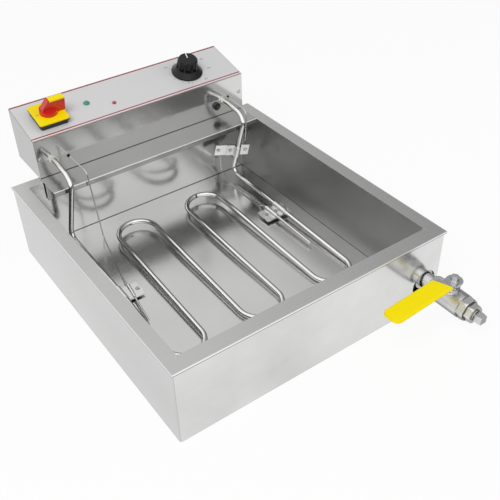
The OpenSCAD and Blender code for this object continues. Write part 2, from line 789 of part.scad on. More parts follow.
// Corner points of the runs: each bend is half as wide as the distance between its two runs
function coil_points() = [lying(run_x[0], split_y), lying(run_x[0], front_bend_y),
  lying(run_x[1] - front_pinch, front_bend_y), lying(run_x[1], rear_bend_y), lying(run_x[2], rear_bend_y),
  lying(run_x[2], front_bend_y), lying(run_x[3], front_bend_y), lying(run_x[3], rear_bend_y),
  lying(run_x[4], rear_bend_y), lying(run_x[4], front_bend_y), lying(run_x[5], front_bend_y),
  lying(run_x[5], split_y)];
function coil_radii() = let (r = (left_pitch - front_pinch) / 2) [0, r, r, for (i = [1 : 8]) run_pitch / 2, 0];

module element_coil() {
  color("lightgray") bent_tube(coil_points(), coil_radii(), tube_d);
}

module element_left_leg() {
  color("lightgray") bent_tube(leg_points(left_leg_x, run_x[0]), leg_radii(), tube_d);
}

module element_right_leg() {
  color("lightgray") bent_tube(leg_points(right_leg_x, run_x[5]), leg_radii(), tube_d);
}

module element_glands() {
  nut_in = 4;
  color("darkkhaki") for (x = [left_leg_x, right_leg_x]) on_front(x, leg_z, 0) difference() {
    union() {
      cylinder(h = washer_t, d = washer_d);
      translate([0, 0, washer_t - eps]) hexagon(gland_hex, gland_h);
      translate([0, 0, -sheet - nut_in]) cylinder(h = sheet + nut_in + eps, d = gland_barrel());
      translate([0, 0, -sheet - nut_in]) hexagon(gland_hex, nut_in);
    }
    translate([0, 0, -sheet - nut_in - over]) cylinder(h = sheet + nut_in + gland_h + washer_t + 2 * over, d = tube_d + 2 * fit);
  }
}

module element_terminals() {
  pin_l = 12;
  color("gray") for (x = [left_leg_x, right_leg_x]) translate([x, head_y0 + leg_inside, leg_z]) rotate([-90, 0, 0]) {
    cylinder(h = 3, d = tube_d - 1);
    translate([0, 0, 3 - eps]) cylinder(h = pin_l, d = 3, $fn = rod_fn);
  }
}

// Brackets

// Outline of a strap seen along the tube: tube holes at x with radius r stand on the plate at y = 0,
// and flanges run from left to right
module strap_outline(holes, left, right) {
  difference() {
    union() {
      translate([left, 0]) square([right - left, strap_t]);
      for (h = holes) {
        translate([h[0], h[1]]) circle(h[1] + strap_t);
        translate([h[0] - h[1] - strap_t, 0]) square([2 * (h[1] + strap_t), h[1]]);
      }
    }
    for (h = holes) {
      translate([h[0], h[1]]) circle(h[1]);
      translate([h[0] - h[1], -over]) square([2 * h[1], h[1] + over]);
    }
    translate([left - over, -2 * over]) square([right - left + 2 * over, 2 * over]);
  }
}

// Frame of a bracket under a run: local X to the right, local Y up the tube's side, plate top at y = 0
module under_run(x, t) {
  on_run(x, t) translate([0, 0, -strap_r]) rotate([90, 0, 0]) children();
}

right_plate = [-bulb_offset - 19.5, 14];
right_screw_x = [-bulb_offset - 11, -(bulb_offset - bulb_d / 2 + strap_r) / 2, 10];
left_plate = [-17, probe_offset + 16.5];
left_screw_x = [-11.5, probe_offset + 11];

module bracket_plate(span, screws) {
  difference() {
    translate([span[0], -strap_t, -strap_l / 2]) cube([span[1] - span[0], strap_t - eps, strap_l]);
    for (x = screws) translate([x, over, 0]) rotate([90, 0, 0])
      cylinder(h = strap_t + 2 * over, d = screw_d + 2 * fit, $fn = rod_fn);
  }
}

module bracket_strap(span, screws, holes) {
  difference() {
    translate([0, 0, -strap_l / 2]) linear_extrude(strap_l) strap_outline(holes, span[0], span[1]);
    for (x = screws) translate([x, strap_t + over, 0]) rotate([90, 0, 0])
      cylinder(h = strap_t + 2 * over, d = screw_d + 2 * fit, $fn = rod_fn);
  }
}

module bracket_screws(screws) {
  for (x = screws) translate([x, strap_t, 0]) rotate([-90, 0, 0]) pan_screw(screw_d, 2 * strap_t + 1);
}

module right_bracket_plate() {
  color("silver") under_run(run_x[5], right_bracket_y) bracket_plate(right_plate, right_screw_x);
}

module right_bracket_strap() {
  holes = [[0, strap_r], [-bulb_offset, bulb_d / 2 + fit]];
  color("silver") under_run(run_x[5], right_bracket_y) bracket_strap(right_plate, right_screw_x, holes);
}

module right_bracket_screws() {
  color("darkgray") under_run(run_x[5], right_bracket_y) bracket_screws(right_screw_x);
}

module left_bracket_plate() {
  color("silver") under_run(run_x[0], left_bracket_y) bracket_plate(left_plate, left_screw_x);
}

module left_bracket_strap() {
  r = probe_d / 2 + fit;
  reach = strap_l / cos(probe_turn) + 2 * over;
  color("silver") under_run(run_x[0], left_bracket_y) difference() {
    union() {
      bracket_strap(left_plate, left_screw_x, [[0, strap_r]]);
      intersection() {
        translate([probe_offset, probe_r(), 0]) rotate([0, -probe_turn, 0])
          translate([0, 0, -reach / 2]) cylinder(h = reach, d = probe_d + 2 * strap_t);
        translate([0, 0, -strap_l / 2]) cube([2 * probe_offset, probe_offset, strap_l]);
      }
    }
    translate([probe_offset, probe_r(), 0]) rotate([0, -probe_turn, 0])
      translate([0, 0, -reach / 2 - over]) {
        cylinder(h = reach + 2 * over, r = r);
        translate([-r, -r - over, 0]) cube([2 * r, r + over, reach + 2 * over]);
      }
  }
}

// Height of the high-limit bulb above its plate
function probe_r() = probe_d / 2 + fit;

module left_bracket_screws() {
  color("darkgray") under_run(run_x[0], left_bracket_y) bracket_screws(left_screw_x);
}

// Frame of the leg bracket: local Z runs up the right leg, local Y points at the back wall
leg_top = [right_leg_x, knee_y, knee_z];
leg_foot = lying(run_x[5], foot_y);
bracket_z = floor_z + leg_bracket_rise;
bracket_mid = leg_foot + (leg_top - leg_foot) * (bracket_z - leg_foot[2]) / (knee_z - leg_foot[2]);
leg_plate = [-42, 24];
leg_strap = [-20, 24];
leg_screw_x = [-13, 17];
leg_hole_x = -36;

module on_leg() {
  z = unit(leg_top - leg_foot);
  x = unit(cross([0, 1, 0], z));
  y = cross(z, x);
  multmatrix([[x[0], y[0], z[0], bracket_mid[0]], [x[1], y[1], z[1], bracket_mid[1]],
    [x[2], y[2], z[2], bracket_mid[2]], [0, 0, 0, 1]]) rotate([0, 0, -leg_bracket_turn]) children();
}

// The strap outline is drawn with its plate at the back of the leg
module leg_bracket_frame() {
  on_leg() translate([0, strap_r, 0]) mirror([0, 1, 0]) children();
}

module leg_bracket_plate() {
  color("silver") leg_bracket_frame() difference() {
    translate([leg_plate[0], -strap_t, -leg_bracket_h / 2])
      cube([leg_plate[1] - leg_plate[0], strap_t - eps, leg_bracket_h]);
    for (x = [leg_hole_x, leg_screw_x[0], leg_screw_x[1]]) translate([x, over, 0]) rotate([90, 0, 0])
      cylinder(h = strap_t + 2 * over, d = screw_d + 2 * fit, $fn = rod_fn);
  }
}

module leg_bracket_strap() {
  color("silver") leg_bracket_frame() difference() {
    translate([0, 0, -leg_bracket_h / 2]) linear_extrude(leg_bracket_h)
      strap_outline([[0, strap_r]], leg_strap[0], leg_strap[1]);
    for (x = leg_screw_x) translate([x, strap_t + over, 0]) rotate([90, 0, 0])
      cylinder(h = strap_t + 2 * over, d = screw_d + 2 * fit, $fn = rod_fn);
  }
}

module leg_bracket_screws() {
  color("darkgray") leg_bracket_frame() {
    for (x = leg_screw_x) translate([x, strap_t, 0]) rotate([-90, 0, 0]) pan_screw(screw_d, 2 * strap_t + 1);
    translate([leg_hole_x, -eps, 0]) rotate([-90, 0, 0]) pan_screw(screw_d, strap_t + 1);
  }
}

// Sensors

bulb_x = run_x[5] - bulb_offset;
bulb_up = bulb_d / 2 + fit - strap_r;
bulb_rear = right_bracket_y + strap_l / 2 + 4;
probe_x = run_x[0] + probe_offset;
probe_up = probe_r() - strap_r;
probe_back = strap_l / 2 + 6;
capillary_floor_z = floor_z + capillary_d / 2 + seat;

// Point of the high-limit bulb's axis, t behind the middle of its bracket
function probe_point(t) = lying(probe_x + t * sin(probe_turn), left_bracket_y + t * cos(probe_turn), probe_up);
exit_rise = 31.5;
exit_lower = 6;
exit_drop = 4;
right_exit_offset = 9;
left_exit_offset = 27;
right_exit_x = right_leg_x + right_exit_offset;
left_exit_x = left_leg_x + left_exit_offset;
capillary_inside = 12;
capillary_bend_r = 8;
sharp_bend_r = 5;
right_top_gap = 8;
right_turn_gap = 5;
wall_gap = 10;
wall_step = 9;
wall_shift = 4;
wall_drop = 8;
floor_rise = 16;
bulb_lead = 8;
bulb_settle = 18;
left_top_shift = 4;
left_top_gap = 2;
left_foot_shift = 18;
probe_lead = 7;
probe_settle = 16;

// Where the two capillaries leave the front panel
function capillary_exits() = [[right_exit_x, head_y0, shelf_z + exit_rise],
  [left_exit_x, head_y0, shelf_z + exit_rise - exit_lower]];

module thermostat_bulb() {
  color("silver") on_run(bulb_x, bulb_rear) translate([0, 0, bulb_up]) rotate([90, 0, 0]) bulb(bulb_d, bulb_l);
}

// The capillary runs beside the right leg, behind its bracket and along the floor to the bulb
module thermostat_capillary() {
  out = capillary_exits()[0];
  behind = pan_rear - wall_gap;
  top_y = knee_y + right_top_gap;
  r = capillary_bend_r;
  points = [out + [0, capillary_inside, 0], [out[0], top_y, out[2] - exit_drop],
    [out[0], top_y + right_turn_gap, bracket_z + leg_bracket_h / 2 + wall_gap],
    [out[0] - wall_shift, behind - wall_step, bracket_z], [bulb_x + wall_shift / 2, behind, bracket_z - wall_drop],
    [bulb_x + wall_shift / 2, behind, floor_z + floor_rise], [bulb_x, split_y, capillary_floor_z],
    [bulb_x, bulb_rear + bulb_settle, capillary_floor_z], lying(bulb_x, bulb_rear + bulb_lead, bulb_up),
    lying(bulb_x, bulb_rear, bulb_up)];
  color("silver") bent_tube(points, [0, r + 2, r, r, r, r, r, sharp_bend_r, sharp_bend_r, 0], capillary_d);
}

module high_limit_bulb() {
  color("silver") along(probe_point(probe_back), probe_point(0) - probe_point(probe_back)) bulb(probe_d, probe_l);
}

// The capillary hangs over the shelf and down to the floor, then runs forward to the bulb
module high_limit_capillary() {
  out = capillary_exits()[1];
  top_y = knee_y + right_top_gap;
  r = capillary_bend_r;
  settled = probe_point(probe_back + probe_settle);
  points = [out + [0, capillary_inside, 0], [out[0] + left_top_shift, top_y, out[2] - exit_drop],
    [out[0] + left_foot_shift, top_y - left_top_gap, capillary_floor_z], [settled[0], settled[1], capillary_floor_z],
    probe_point(probe_back + probe_lead), probe_point(probe_back)];
  color("silver") bent_tube(points, [0, r + 1, r, r / 2, r / 2, 0], capillary_d);
}

// Controls

module switch_base() {
  brim = 3;
  step = 2;
  foot = switch_base_h - brim;
  color("black") difference() {
    union() {
      on_panel(switch_x, switch_s, overlay_t) linear_extrude(foot)
        round_rect(switch_plate_w - 2 * step, switch_plate_w - 2 * step, plate_corner_r);
      on_panel(switch_x, switch_s, overlay_t + foot - eps) linear_extrude(switch_base_h - foot)
        round_rect(switch_plate_w, switch_plate_w, plate_corner_r);
    }
    on_panel(switch_x, switch_s, 0) cylinder(h = switch_base_h + 2 * over, d = switch_hole_d);
  }
}

module switch_plate() {
  color("yellow") on_panel(switch_x, switch_s, overlay_t + switch_base_h) difference() {
    linear_extrude(switch_plate_t) round_rect(switch_plate_w, switch_plate_w, plate_corner_r);
    translate([0, 0, -over]) cylinder(h = switch_plate_t + 2 * over, d = switch_hole_d);
  }
}

module switch_body() {
  box_w = 42;
  box_h = 40;
  shaft_room = 14;
  neck = switch_hole_d - 2 * fit;
  stack = sheet + overlay_t + switch_base_h;
  color("dimgray") on_panel(switch_x, switch_s, -sheet) difference() {
    union() {
      translate([-box_w / 2, -box_w / 2, -box_h]) cube([box_w, box_w, box_h - fit]);
      translate([0, 0, -over]) cylinder(h = stack, d = neck);
    }
    translate([0, 0, -shaft_room]) cylinder(h = shaft_room + stack + over, d = shaft_d + 2 * running, $fn = rod_fn);
  }
}

module switch_handle() {
  foot_h = 7;
  slant = 13;
  back = handle_foot_d / 2 - 1;
  color("red") on_panel(switch_x, switch_s, plate_top + seat) {
    cylinder(h = foot_h, d = handle_foot_d);
    difference() {
      translate([0, grip_w / 2, 0]) rotate([90, 0, 0]) linear_extrude(grip_w) polygon([[-back, 0], [grip_reach, 0],
        [grip_reach, grip_h - 2], [grip_reach - 2, grip_h], [-back + slant, grip_h], [-back + 4, foot_h + 6]]);
      translate([-back + slant + 2, -grip_w, grip_h - stripe_t()]) cube([2 * grip_reach, 2 * grip_w, 10]);
    }
    translate([0, 0, -plate_top - 12]) cylinder(h = plate_top + 12 + eps, d = shaft_d, $fn = rod_fn);
  }
}

// Thickness of the yellow stripe let into the top of the grip
function stripe_t() = 3.5;

module handle_stripe() {
  slant = 13;
  back = handle_foot_d / 2 - 1;
  left = -back + slant + 2;
  color("yellow") on_panel(switch_x, switch_s, plate_top + seat)
    translate([left + fit, -grip_w / 2, grip_h - stripe_t() + eps]) cube([grip_reach - 0.5 - left, grip_w, stripe_t()]);
}

module thermostat_body() {
  box = [44, 32, 34];
  shaft_room = 12;
  color("silver") on_panel(knob_x, knob_s, -sheet) difference() {
    union() {
      translate([-box[0] / 2, -box[1] / 2, -box[2]]) cube(box - [0, 0, fit]);
      translate([0, 0, -over]) cylinder(h = sheet + over, d = shaft_d + 4 - 2 * fit);
    }
    translate([0, 0, -shaft_room]) cylinder(h = shaft_room + sheet + over, d = shaft_d + 2 * running, $fn = rod_fn);
  }
}

module thermostat_knob() {
  lift = overlay_t + seat;
  skirt_r = knob_skirt_d / 2;
  grip_r = knob_grip_d / 2;
  lip = 2.5;
  color("black") on_panel(knob_x, knob_s, lift) rotate([0, 0, -knob_rest]) {
    difference() {
      rotate_extrude() polygon([[0, 0], [skirt_r, 0], [skirt_r, lip], [skirt_r - 2, lip + 1.5],
        [grip_r + 3.5, knob_skirt_h], [grip_r + 1.5, knob_skirt_h + 1], [grip_r, knob_h - 2],
        [grip_r - 2, knob_h], [0, knob_h]]);
      for (i = [0 : knob_flutes - 1]) rotate([0, 0, 360 / knob_flutes * (i + 0.5)])
        translate([grip_r + 3.5, 0, knob_skirt_h + 1.5]) cylinder(h = knob_h, d = 11);
      translate([-1 - fit, 2, knob_h - 1]) cube([2 + 2 * fit, grip_r, 2]);
    }
    translate([0, 0, -lift - sheet - 10]) cylinder(h = lift + sheet + 10 + eps, d = shaft_d, $fn = rod_fn);
  }
}

module knob_pointer() {
  color("white") on_panel(knob_x, knob_s, overlay_t + seat) rotate([0, 0, -knob_rest])
    translate([-1, 2 + fit, knob_h - 1 + eps]) cube([2, knob_grip_d / 2 - 3.5, 1]);
}

module lamp(x, s, d) {
  rim = 1.5;
  on_panel(x, s, overlay_t) {
    cylinder(h = rim, d = d);
    translate([0, 0, rim - eps]) intersection() {
      translate([0, 0, -0.3 * d]) sphere(r = 0.58 * d);
      cylinder(h = d, d = d - 0.6);
    }
    translate([0, 0, -lamp_depth]) cylinder(h = lamp_depth + eps, d = d * lamp_barrel);
  }
}

module green_lamp() {
  color("seagreen") lamp(green_x, green_s, green_d);
}

module red_lamp() {
  color("firebrick") lamp(red_x, red_s, red_d);
}

module high_limit_body() {
  box = [22, 28, 24];
  color("dimgray") on_front(reset_x, reset_z, -sheet - reset_barrel_l) difference() {
    translate([-box[0] / 2, -box[1] / 2, -box[2]]) cube(box - [0, 0, fit]);
    translate([0, 0, -reset_room]) cylinder(h = reset_room + over, d = reset_button_d + 2 * running, $fn = rod_fn);
  }
}

module reset_collar() {
  barrel = sheet + reset_barrel_l;
  color("black") on_front(reset_x, reset_z) difference() {
    union() {
      cylinder(h = reset_collar_h - 1, d = reset_collar_d);
      translate([0, 0, reset_collar_h - 1 - eps]) cylinder(h = 1, d1 = reset_collar_d, d2 = reset_collar_d - 2.5);
      translate([0, 0, -barrel]) cylinder(h = barrel + eps, d = reset_barrel_d);
    }
    translate([0, 0, -barrel - over]) cylinder(h = barrel + reset_collar_h + 2 * over,
      d = reset_button_d + 2 * running, $fn = rod_fn);
  }
}

module reset_button() {
  color("gray") on_front(reset_x, reset_z) translate([0, 0, -sheet - reset_barrel_l])
    cylinder(h = sheet + reset_barrel_l + reset_collar_h + reset_travel, d = reset_button_d, $fn = rod_fn);
}

module terminal_block() {
  block = [62, 22, 18];
  behind = 18;
  pole = 12;
  pole_w = 8;
  first = (block[0] - 4 * pole - pole_w) / 2;
  color("ivory") translate([head_shift, head_y1 - behind - block[1], shelf_z]) difference() {
    cube(block);
    for (i = [0 : 4]) translate([first + pole * i, -over, block[2] / 2]) cube([pole_w, pole_w + over, block[2]]);
  }
}

module cord_gland() {
  inner = sheet + gland_inside_l;
  color("dimgray") on_back(gland_x, gland_z) difference() {
    union() {
      hexagon(gland_flats, gland_flange_h);
      translate([0, 0, -inner]) cylinder(h = inner + gland_thread_l, d = gland_barrel_d);
      translate([0, 0, -sheet - gland_backnut_h]) hexagon(gland_flats, gland_backnut_h);
    }
    translate([0, 0, -inner - over]) cylinder(h = inner + gland_thread_l + 2 * over, d = cable_d);
  }
}

module gland_nut() {
  socket = gland_thread_l - gland_flange_h;
  nose = gland_nut_h - over;
  color("dimgray") on_back(gland_x, gland_z, gland_flange_h + fit) difference() {
    union() {
      hexagon(gland_nut_flats, gland_nut_h);
      translate([0, 0, nose]) cylinder(h = gland_nose_l + over, d1 = gland_nut_flats, d2 = gland_nose_d);
    }
    translate([0, 0, -over]) cylinder(h = socket + over + fit, d = gland_barrel_d + 2 * fit);
    cylinder(h = nose + gland_nose_l + 2 * over, d = cable_d);
  }
}

oil_pan();
outer_casing();
base_plate();
drain_pipe();
valve_body();
valve_end_cap();
valve_seats();
valve_ball();
valve_stem();
packing_nut();
valve_lever();
lever_sleeve();
lever_nut();
outlet_bushing();
drain_plug();
head_chassis();
front_panel();
back_cover();
mounting_shelf();
panel_overlay();
front_screws();
cover_screws();
element_coil();
element_left_leg();
element_right_leg();
element_glands();
element_terminals();
leg_bracket_plate();
leg_bracket_strap();
leg_bracket_screws();
right_bracket_plate();
right_bracket_strap();
right_bracket_screws();
left_bracket_plate();
left_bracket_strap();
left_bracket_screws();
thermostat_bulb();
thermostat_capillary();
high_limit_bulb();
high_limit_capillary();
switch_base();
switch_plate();
switch_body();
switch_handle();
handle_stripe();
thermostat_body();
thermostat_knob();
knob_pointer();
green_lamp();
red_lamp();
high_limit_body();
reset_collar();
reset_button();
terminal_block();
cord_gland();
gland_nut();
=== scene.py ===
from math import atan2, cos, pi, radians, sin

import bmesh
import bpy
from mathutils import Matrix, Vector


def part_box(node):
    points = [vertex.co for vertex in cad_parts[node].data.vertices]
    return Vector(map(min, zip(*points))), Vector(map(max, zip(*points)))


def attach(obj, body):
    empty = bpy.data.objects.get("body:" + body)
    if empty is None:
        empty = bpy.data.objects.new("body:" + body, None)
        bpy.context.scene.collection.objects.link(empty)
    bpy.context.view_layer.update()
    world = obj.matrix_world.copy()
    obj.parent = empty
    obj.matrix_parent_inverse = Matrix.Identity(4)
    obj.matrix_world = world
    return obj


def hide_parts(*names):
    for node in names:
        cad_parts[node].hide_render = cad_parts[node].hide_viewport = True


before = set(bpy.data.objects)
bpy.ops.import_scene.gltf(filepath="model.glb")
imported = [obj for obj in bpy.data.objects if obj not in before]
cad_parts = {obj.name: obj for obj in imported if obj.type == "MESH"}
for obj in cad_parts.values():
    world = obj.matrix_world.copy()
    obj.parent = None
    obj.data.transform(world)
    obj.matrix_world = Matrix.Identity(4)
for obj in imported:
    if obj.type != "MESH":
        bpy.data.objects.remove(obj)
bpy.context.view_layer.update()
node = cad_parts


# The studio: a wide pale floor with a soft key lamp at the operator's left and a weak fill
# from the right, under an even white sky. Polished steel mirrors a darker room instead.
mm = 0.001
floor_mesh = bpy.data.meshes.new("floor")
half_floor, floor_glow, sky_strength = 9.0, 0.9, 0.5
floor_mesh.from_pydata([(-half_floor, -half_floor, 0), (half_floor, -half_floor, 0),
                        (half_floor, half_floor, 0), (-half_floor, half_floor, 0)], [], [(0, 1, 2, 3)])
floor = bpy.data.objects.new("floor", floor_mesh)
bpy.context.scene.collection.objects.link(floor)


def link_up(tree, pairs):
    """Joins sockets of a node tree, each pair given as (from, to)."""
    for a, b in pairs:
        tree.links.new(a, b)


floor_paint = bpy.data.materials.new("floor_paint")
floor_paint.use_nodes = True
t = floor_paint.node_tree
skin = t.nodes["Principled BSDF"]
skin.inputs["Base Color"].default_value = (0.93, 0.93, 0.93, 1)
skin.inputs["Roughness"].default_value = 0.9
skin.inputs["Specular IOR Level"].default_value = 0.1
glow = t.nodes.new("ShaderNodeEmission")
glow.inputs["Color"].default_value = (1, 1, 1, 1)
path = t.nodes.new("ShaderNodeLightPath")
seen = t.nodes.new("ShaderNodeMath")
seen.operation = "MAXIMUM"
share = t.nodes.new("ShaderNodeMath")
share.operation = "MULTIPLY"
share.inputs[1].default_value = floor_glow
blend = t.nodes.new("ShaderNodeMixShader")
link_up(t, [(path.outputs["Is Camera Ray"], seen.inputs[0]),
            (path.outputs["Is Glossy Ray"], seen.inputs[1]),
            (seen.outputs[0], share.inputs[0]), (share.outputs[0], blend.inputs["Fac"]),
            (skin.outputs[0], blend.inputs[1]), (glow.outputs[0], blend.inputs[2]),
            (blend.outputs[0], t.nodes["Material Output"].inputs["Surface"])])
floor_mesh.materials.append(floor_paint)

world = bpy.data.worlds.new("studio")
bpy.context.scene.world = world
world.use_nodes = True
t = world.node_tree
t.nodes["Background"].inputs["Color"].default_value = (1, 1, 1, 1)
t.nodes["Background"].inputs["Strength"].default_value = sky_strength
plain = t.nodes.new("ShaderNodeBackground")
plain.inputs["Color"].default_value = (1, 1, 1, 1)
way = t.nodes.new("ShaderNodeTexCoord")
split = t.nodes.new("ShaderNodeSeparateXYZ")


def step(tree, operation, a, b, clamp=False):
    """Math node; each operand is a socket or a number."""
    n = tree.nodes.new("ShaderNodeMath")
    n.operation, n.use_clamp = operation, clamp
    for socket, value in zip(n.inputs, (a, b)):
        if isinstance(value, (int, float)):
            socket.default_value = value
        else:
            tree.links.new(value, socket)
    return n.outputs[0]


def ramp_of(tree, value, low, high, at_low, at_high):
    """Smooth change from one level to another while the value goes from low to high."""
    n = tree.nodes.new("ShaderNodeMapRange")
    n.interpolation_type = "SMOOTHSTEP"
    for label, number in (("From Min", low), ("From Max", high), ("To Min", at_low), ("To Max", at_high)):
        n.inputs[label].default_value = number
    tree.links.new(value, n.inputs["Value"])
    return n.outputs[0]


# What polished steel sees: a bright wall at the operator's left and over the shoulder, a
# darker room to the right, and the white table up to the horizon.
t.links.new(way.outputs["Generated"], split.inputs[0])
room = ramp_of(t, split.outputs["X"], 0.3, 0.8, 0.78, 0.3)
room = step(t, "ADD", room, ramp_of(t, split.outputs["X"], 0.06, 0.2, 0.36, 0.0))
room = step(t, "ADD", room, ramp_of(t, split.outputs["Y"], -0.5, -0.2, 0.22, 0.0))
sky = step(t, "MAXIMUM", room, ramp_of(t, split.outputs["Z"], 0.02, 0.12, 1.0, 0.0))
path = t.nodes.new("ShaderNodeLightPath")
blend = t.nodes.new("ShaderNodeMixShader")
seen = step(t, "MAXIMUM", path.outputs["Is Camera Ray"], path.outputs["Is Glossy Ray"])
link_up(t, [(step(t, "MAXIMUM", sky, path.outputs["Is Camera Ray"]), plain.inputs["Strength"]),
            (step(t, "MAXIMUM", seen, path.outputs["Is Transmission Ray"]), blend.inputs["Fac"]),
            (t.nodes["Background"].outputs[0], blend.inputs[1]), (plain.outputs[0], blend.inputs[2]),
            (blend.outputs[0], t.nodes["World Output"].inputs["Surface"])])


def lamp(name, at, towards, wide, high, watts):
    """Soft rectangular lamp that looks at a point."""
    light = bpy.data.lights.new(name, "AREA")
    light.shape = "RECTANGLE"
    light.size, light.size_y, light.energy = wide, high, watts
    holder = bpy.data.objects.new(name, light)
    holder.location = at
    holder.rotation_mode = "QUATERNION"
    holder.rotation_quaternion = (Vector(towards) - Vector(at)).to_track_quat("-Z", "Y")
    holder.visible_glossy = False
    bpy.context.scene.collection.objects.link(holder)


lamp("key", (-1.3, -0.9, 2.1), (0, 0, 0.1), 1.4, 1.0, 28)
lamp("fill", (1.9, -1.3, 1.3), (0, 0, 0.1), 1.2, 1.2, 9)

# The camera stands off the left front corner, well above the tank, as a person at the table would.
# Its place, turn and focal length were solved from the box edges in the photo.
azimuth, elevation, roll = radians(-34.75), radians(38.66), radians(-1.45)
back = Vector((sin(azimuth) * cos(elevation), -cos(azimuth) * cos(elevation), sin(elevation)))
level = Vector((cos(azimuth), sin(azimuth), 0))
upward = back.cross(level)
right = level * cos(roll) + upward * sin(roll)
top = upward * cos(roll) - level * sin(roll)
camera = bpy.data.objects.new("camera", bpy.data.cameras.new("camera"))
film_width, focal_pixels, picture_pixels = 36, 751.17, 500
camera.data.sensor_width = film_width
camera.data.lens = focal_pixels * film_width / picture_pixels
camera.data.clip_start, camera.data.clip_end = 0.05, 60
eye = (-0.50993, -0.81913, 0.81955)
camera.matrix_world = Matrix.Translation(eye) @ Matrix((
    (right.x, top.x, back.x), (right.y, top.y, back.y), (right.z, top.z, back.z))).to_4x4()
bpy.context.scene.collection.objects.link(camera)
bpy.context.scene.camera = camera
bpy.context.scene.view_settings.view_transform = "Standard"


# The oil pan: one sheet of bright stainless, folded to a deep tray with a flat rim that
# turns down at its outer edge. The mill's rolling grain runs along each face.
def group_of(name, inputs, outputs):
    """Empty shader group with the named sockets."""
    tree = bpy.data.node_groups.new(name, "ShaderNodeTree")
    for label, kind, value in inputs:
        socket = tree.interface.new_socket(label, in_out="INPUT", socket_type="NodeSocket" + kind)
        if value is not None:
            socket.default_value = value
    for label, kind in outputs:
        tree.interface.new_socket(label, in_out="OUTPUT", socket_type="NodeSocket" + kind)
    return tree, tree.nodes.new("NodeGroupInput").outputs, tree.nodes.new("NodeGroupOutput").inputs


def speckle(tree, vector, scale, detail, rough=0.55):
    """Noise texture's value over a vector."""
    n = tree.nodes.new("ShaderNodeTexNoise")
    n.inputs["Scale"].default_value = scale
    n.inputs["Detail"].default_value = detail
    n.inputs["Roughness"].default_value = rough
    tree.links.new(vector, n.inputs["Vector"])
    return n.outputs["Fac"]


def between(tree, value, low, high):
    """1 where a value lies between two limits, else 0."""
    return step(tree, "MULTIPLY", step(tree, "GREATER_THAN", value, low),
                step(tree, "LESS_THAN", value, high))


def tinted(tree, share, base, colour):
    """Colour that goes from a base towards a fixed colour by a share."""
    n = tree.nodes.new("ShaderNodeMix")
    n.data_type = "RGBA"
    n.inputs[7].default_value = colour
    link_up(tree, [(share, n.inputs[0]), (base, n.inputs[6])])
    return n.outputs[2]


# Rolled and lightly brushed sheet: fine streaks along the face, soft clouds and slight dents.
grain_scale = 700.0
rolled_sheet, g_in, g_out = group_of("rolled_sheet", [
    ("Place", "Vector", None), ("Colour", "Color", (0.7, 0.7, 0.69, 1)), ("Roughness", "Float", 0.25),
    ("Clouds", "Float", 0.1), ("Dents", "Float", 0.3), ("Streaks", "Float", 0.3)],
    [("Colour", "Color"), ("Roughness", "Float"), ("Normal", "Vector")])
facing = rolled_sheet.nodes.new("ShaderNodeNewGeometry")
axes = rolled_sheet.nodes.new("ShaderNodeSeparateXYZ")
place = rolled_sheet.nodes.new("ShaderNodeSeparateXYZ")
link_up(rolled_sheet, [(facing.outputs["True Normal"], axes.inputs[0]), (g_in["Place"], place.inputs[0])])
lies_flat = step(rolled_sheet, "GREATER_THAN", step(rolled_sheet, "ABSOLUTE", axes.outputs["Z"], 0), 0.7)
upright = step(rolled_sheet, "SUBTRACT", 1.0, lies_flat)
across = rolled_sheet.nodes.new("ShaderNodeCombineXYZ")
link_up(rolled_sheet, [
    (step(rolled_sheet, "MULTIPLY", place.outputs["X"], 7.0), across.inputs["X"]),
    (step(rolled_sheet, "MULTIPLY", place.outputs["Y"],
          step(rolled_sheet, "MULTIPLY_ADD", lies_flat, grain_scale)), across.inputs["Y"]),
    (step(rolled_sheet, "MULTIPLY", place.outputs["Z"],
          step(rolled_sheet, "MULTIPLY_ADD", upright, grain_scale)), across.inputs["Z"])])
streak = speckle(rolled_sheet, across.outputs[0], 1.0, 3.0, 0.6)
cloud = speckle(rolled_sheet, g_in["Place"], 9.0, 3.0)
dent = speckle(rolled_sheet, g_in["Place"], 5.0, 1.0)
shade = step(rolled_sheet, "ADD", 0.94, step(rolled_sheet, "MULTIPLY",
             step(rolled_sheet, "ADD", streak, step(rolled_sheet, "MULTIPLY", cloud, 0.6)), 0.08))
uneven = step(rolled_sheet, "ADD", step(rolled_sheet, "SUBTRACT", dent, 0.5),
              step(rolled_sheet, "SUBTRACT", cloud, 0.5))
shade = step(rolled_sheet, "ADD", shade, step(rolled_sheet, "MULTIPLY", g_in["Clouds"], uneven))
tint = rolled_sheet.nodes.new("ShaderNodeVectorMath")
tint.operation = "SCALE"
waved = rolled_sheet.nodes.new("ShaderNodeBump")
waved.inputs["Distance"].default_value = 0.012
lined = rolled_sheet.nodes.new("ShaderNodeBump")
lined.inputs["Distance"].default_value = 0.0001
rough = step(rolled_sheet, "ADD", g_in["Roughness"], step(rolled_sheet, "ADD",
             step(rolled_sheet, "MULTIPLY", step(rolled_sheet, "SUBTRACT", cloud, 0.5), g_in["Clouds"]),
             step(rolled_sheet, "MULTIPLY", step(rolled_sheet, "SUBTRACT", streak, 0.5), 0.1)))
link_up(rolled_sheet, [
    (g_in["Colour"], tint.inputs[0]), (shade, tint.inputs["Scale"]), (tint.outputs[0], g_out["Colour"]),
    (rough, g_out["Roughness"]), (dent, waved.inputs["Height"]), (g_in["Dents"], waved.inputs["Strength"]),
    (streak, lined.inputs["Height"]), (g_in["Streaks"], lined.inputs["Strength"]),
    (waved.outputs[0], lined.inputs["Normal"]), (lined.outputs[0], g_out["Normal"])])


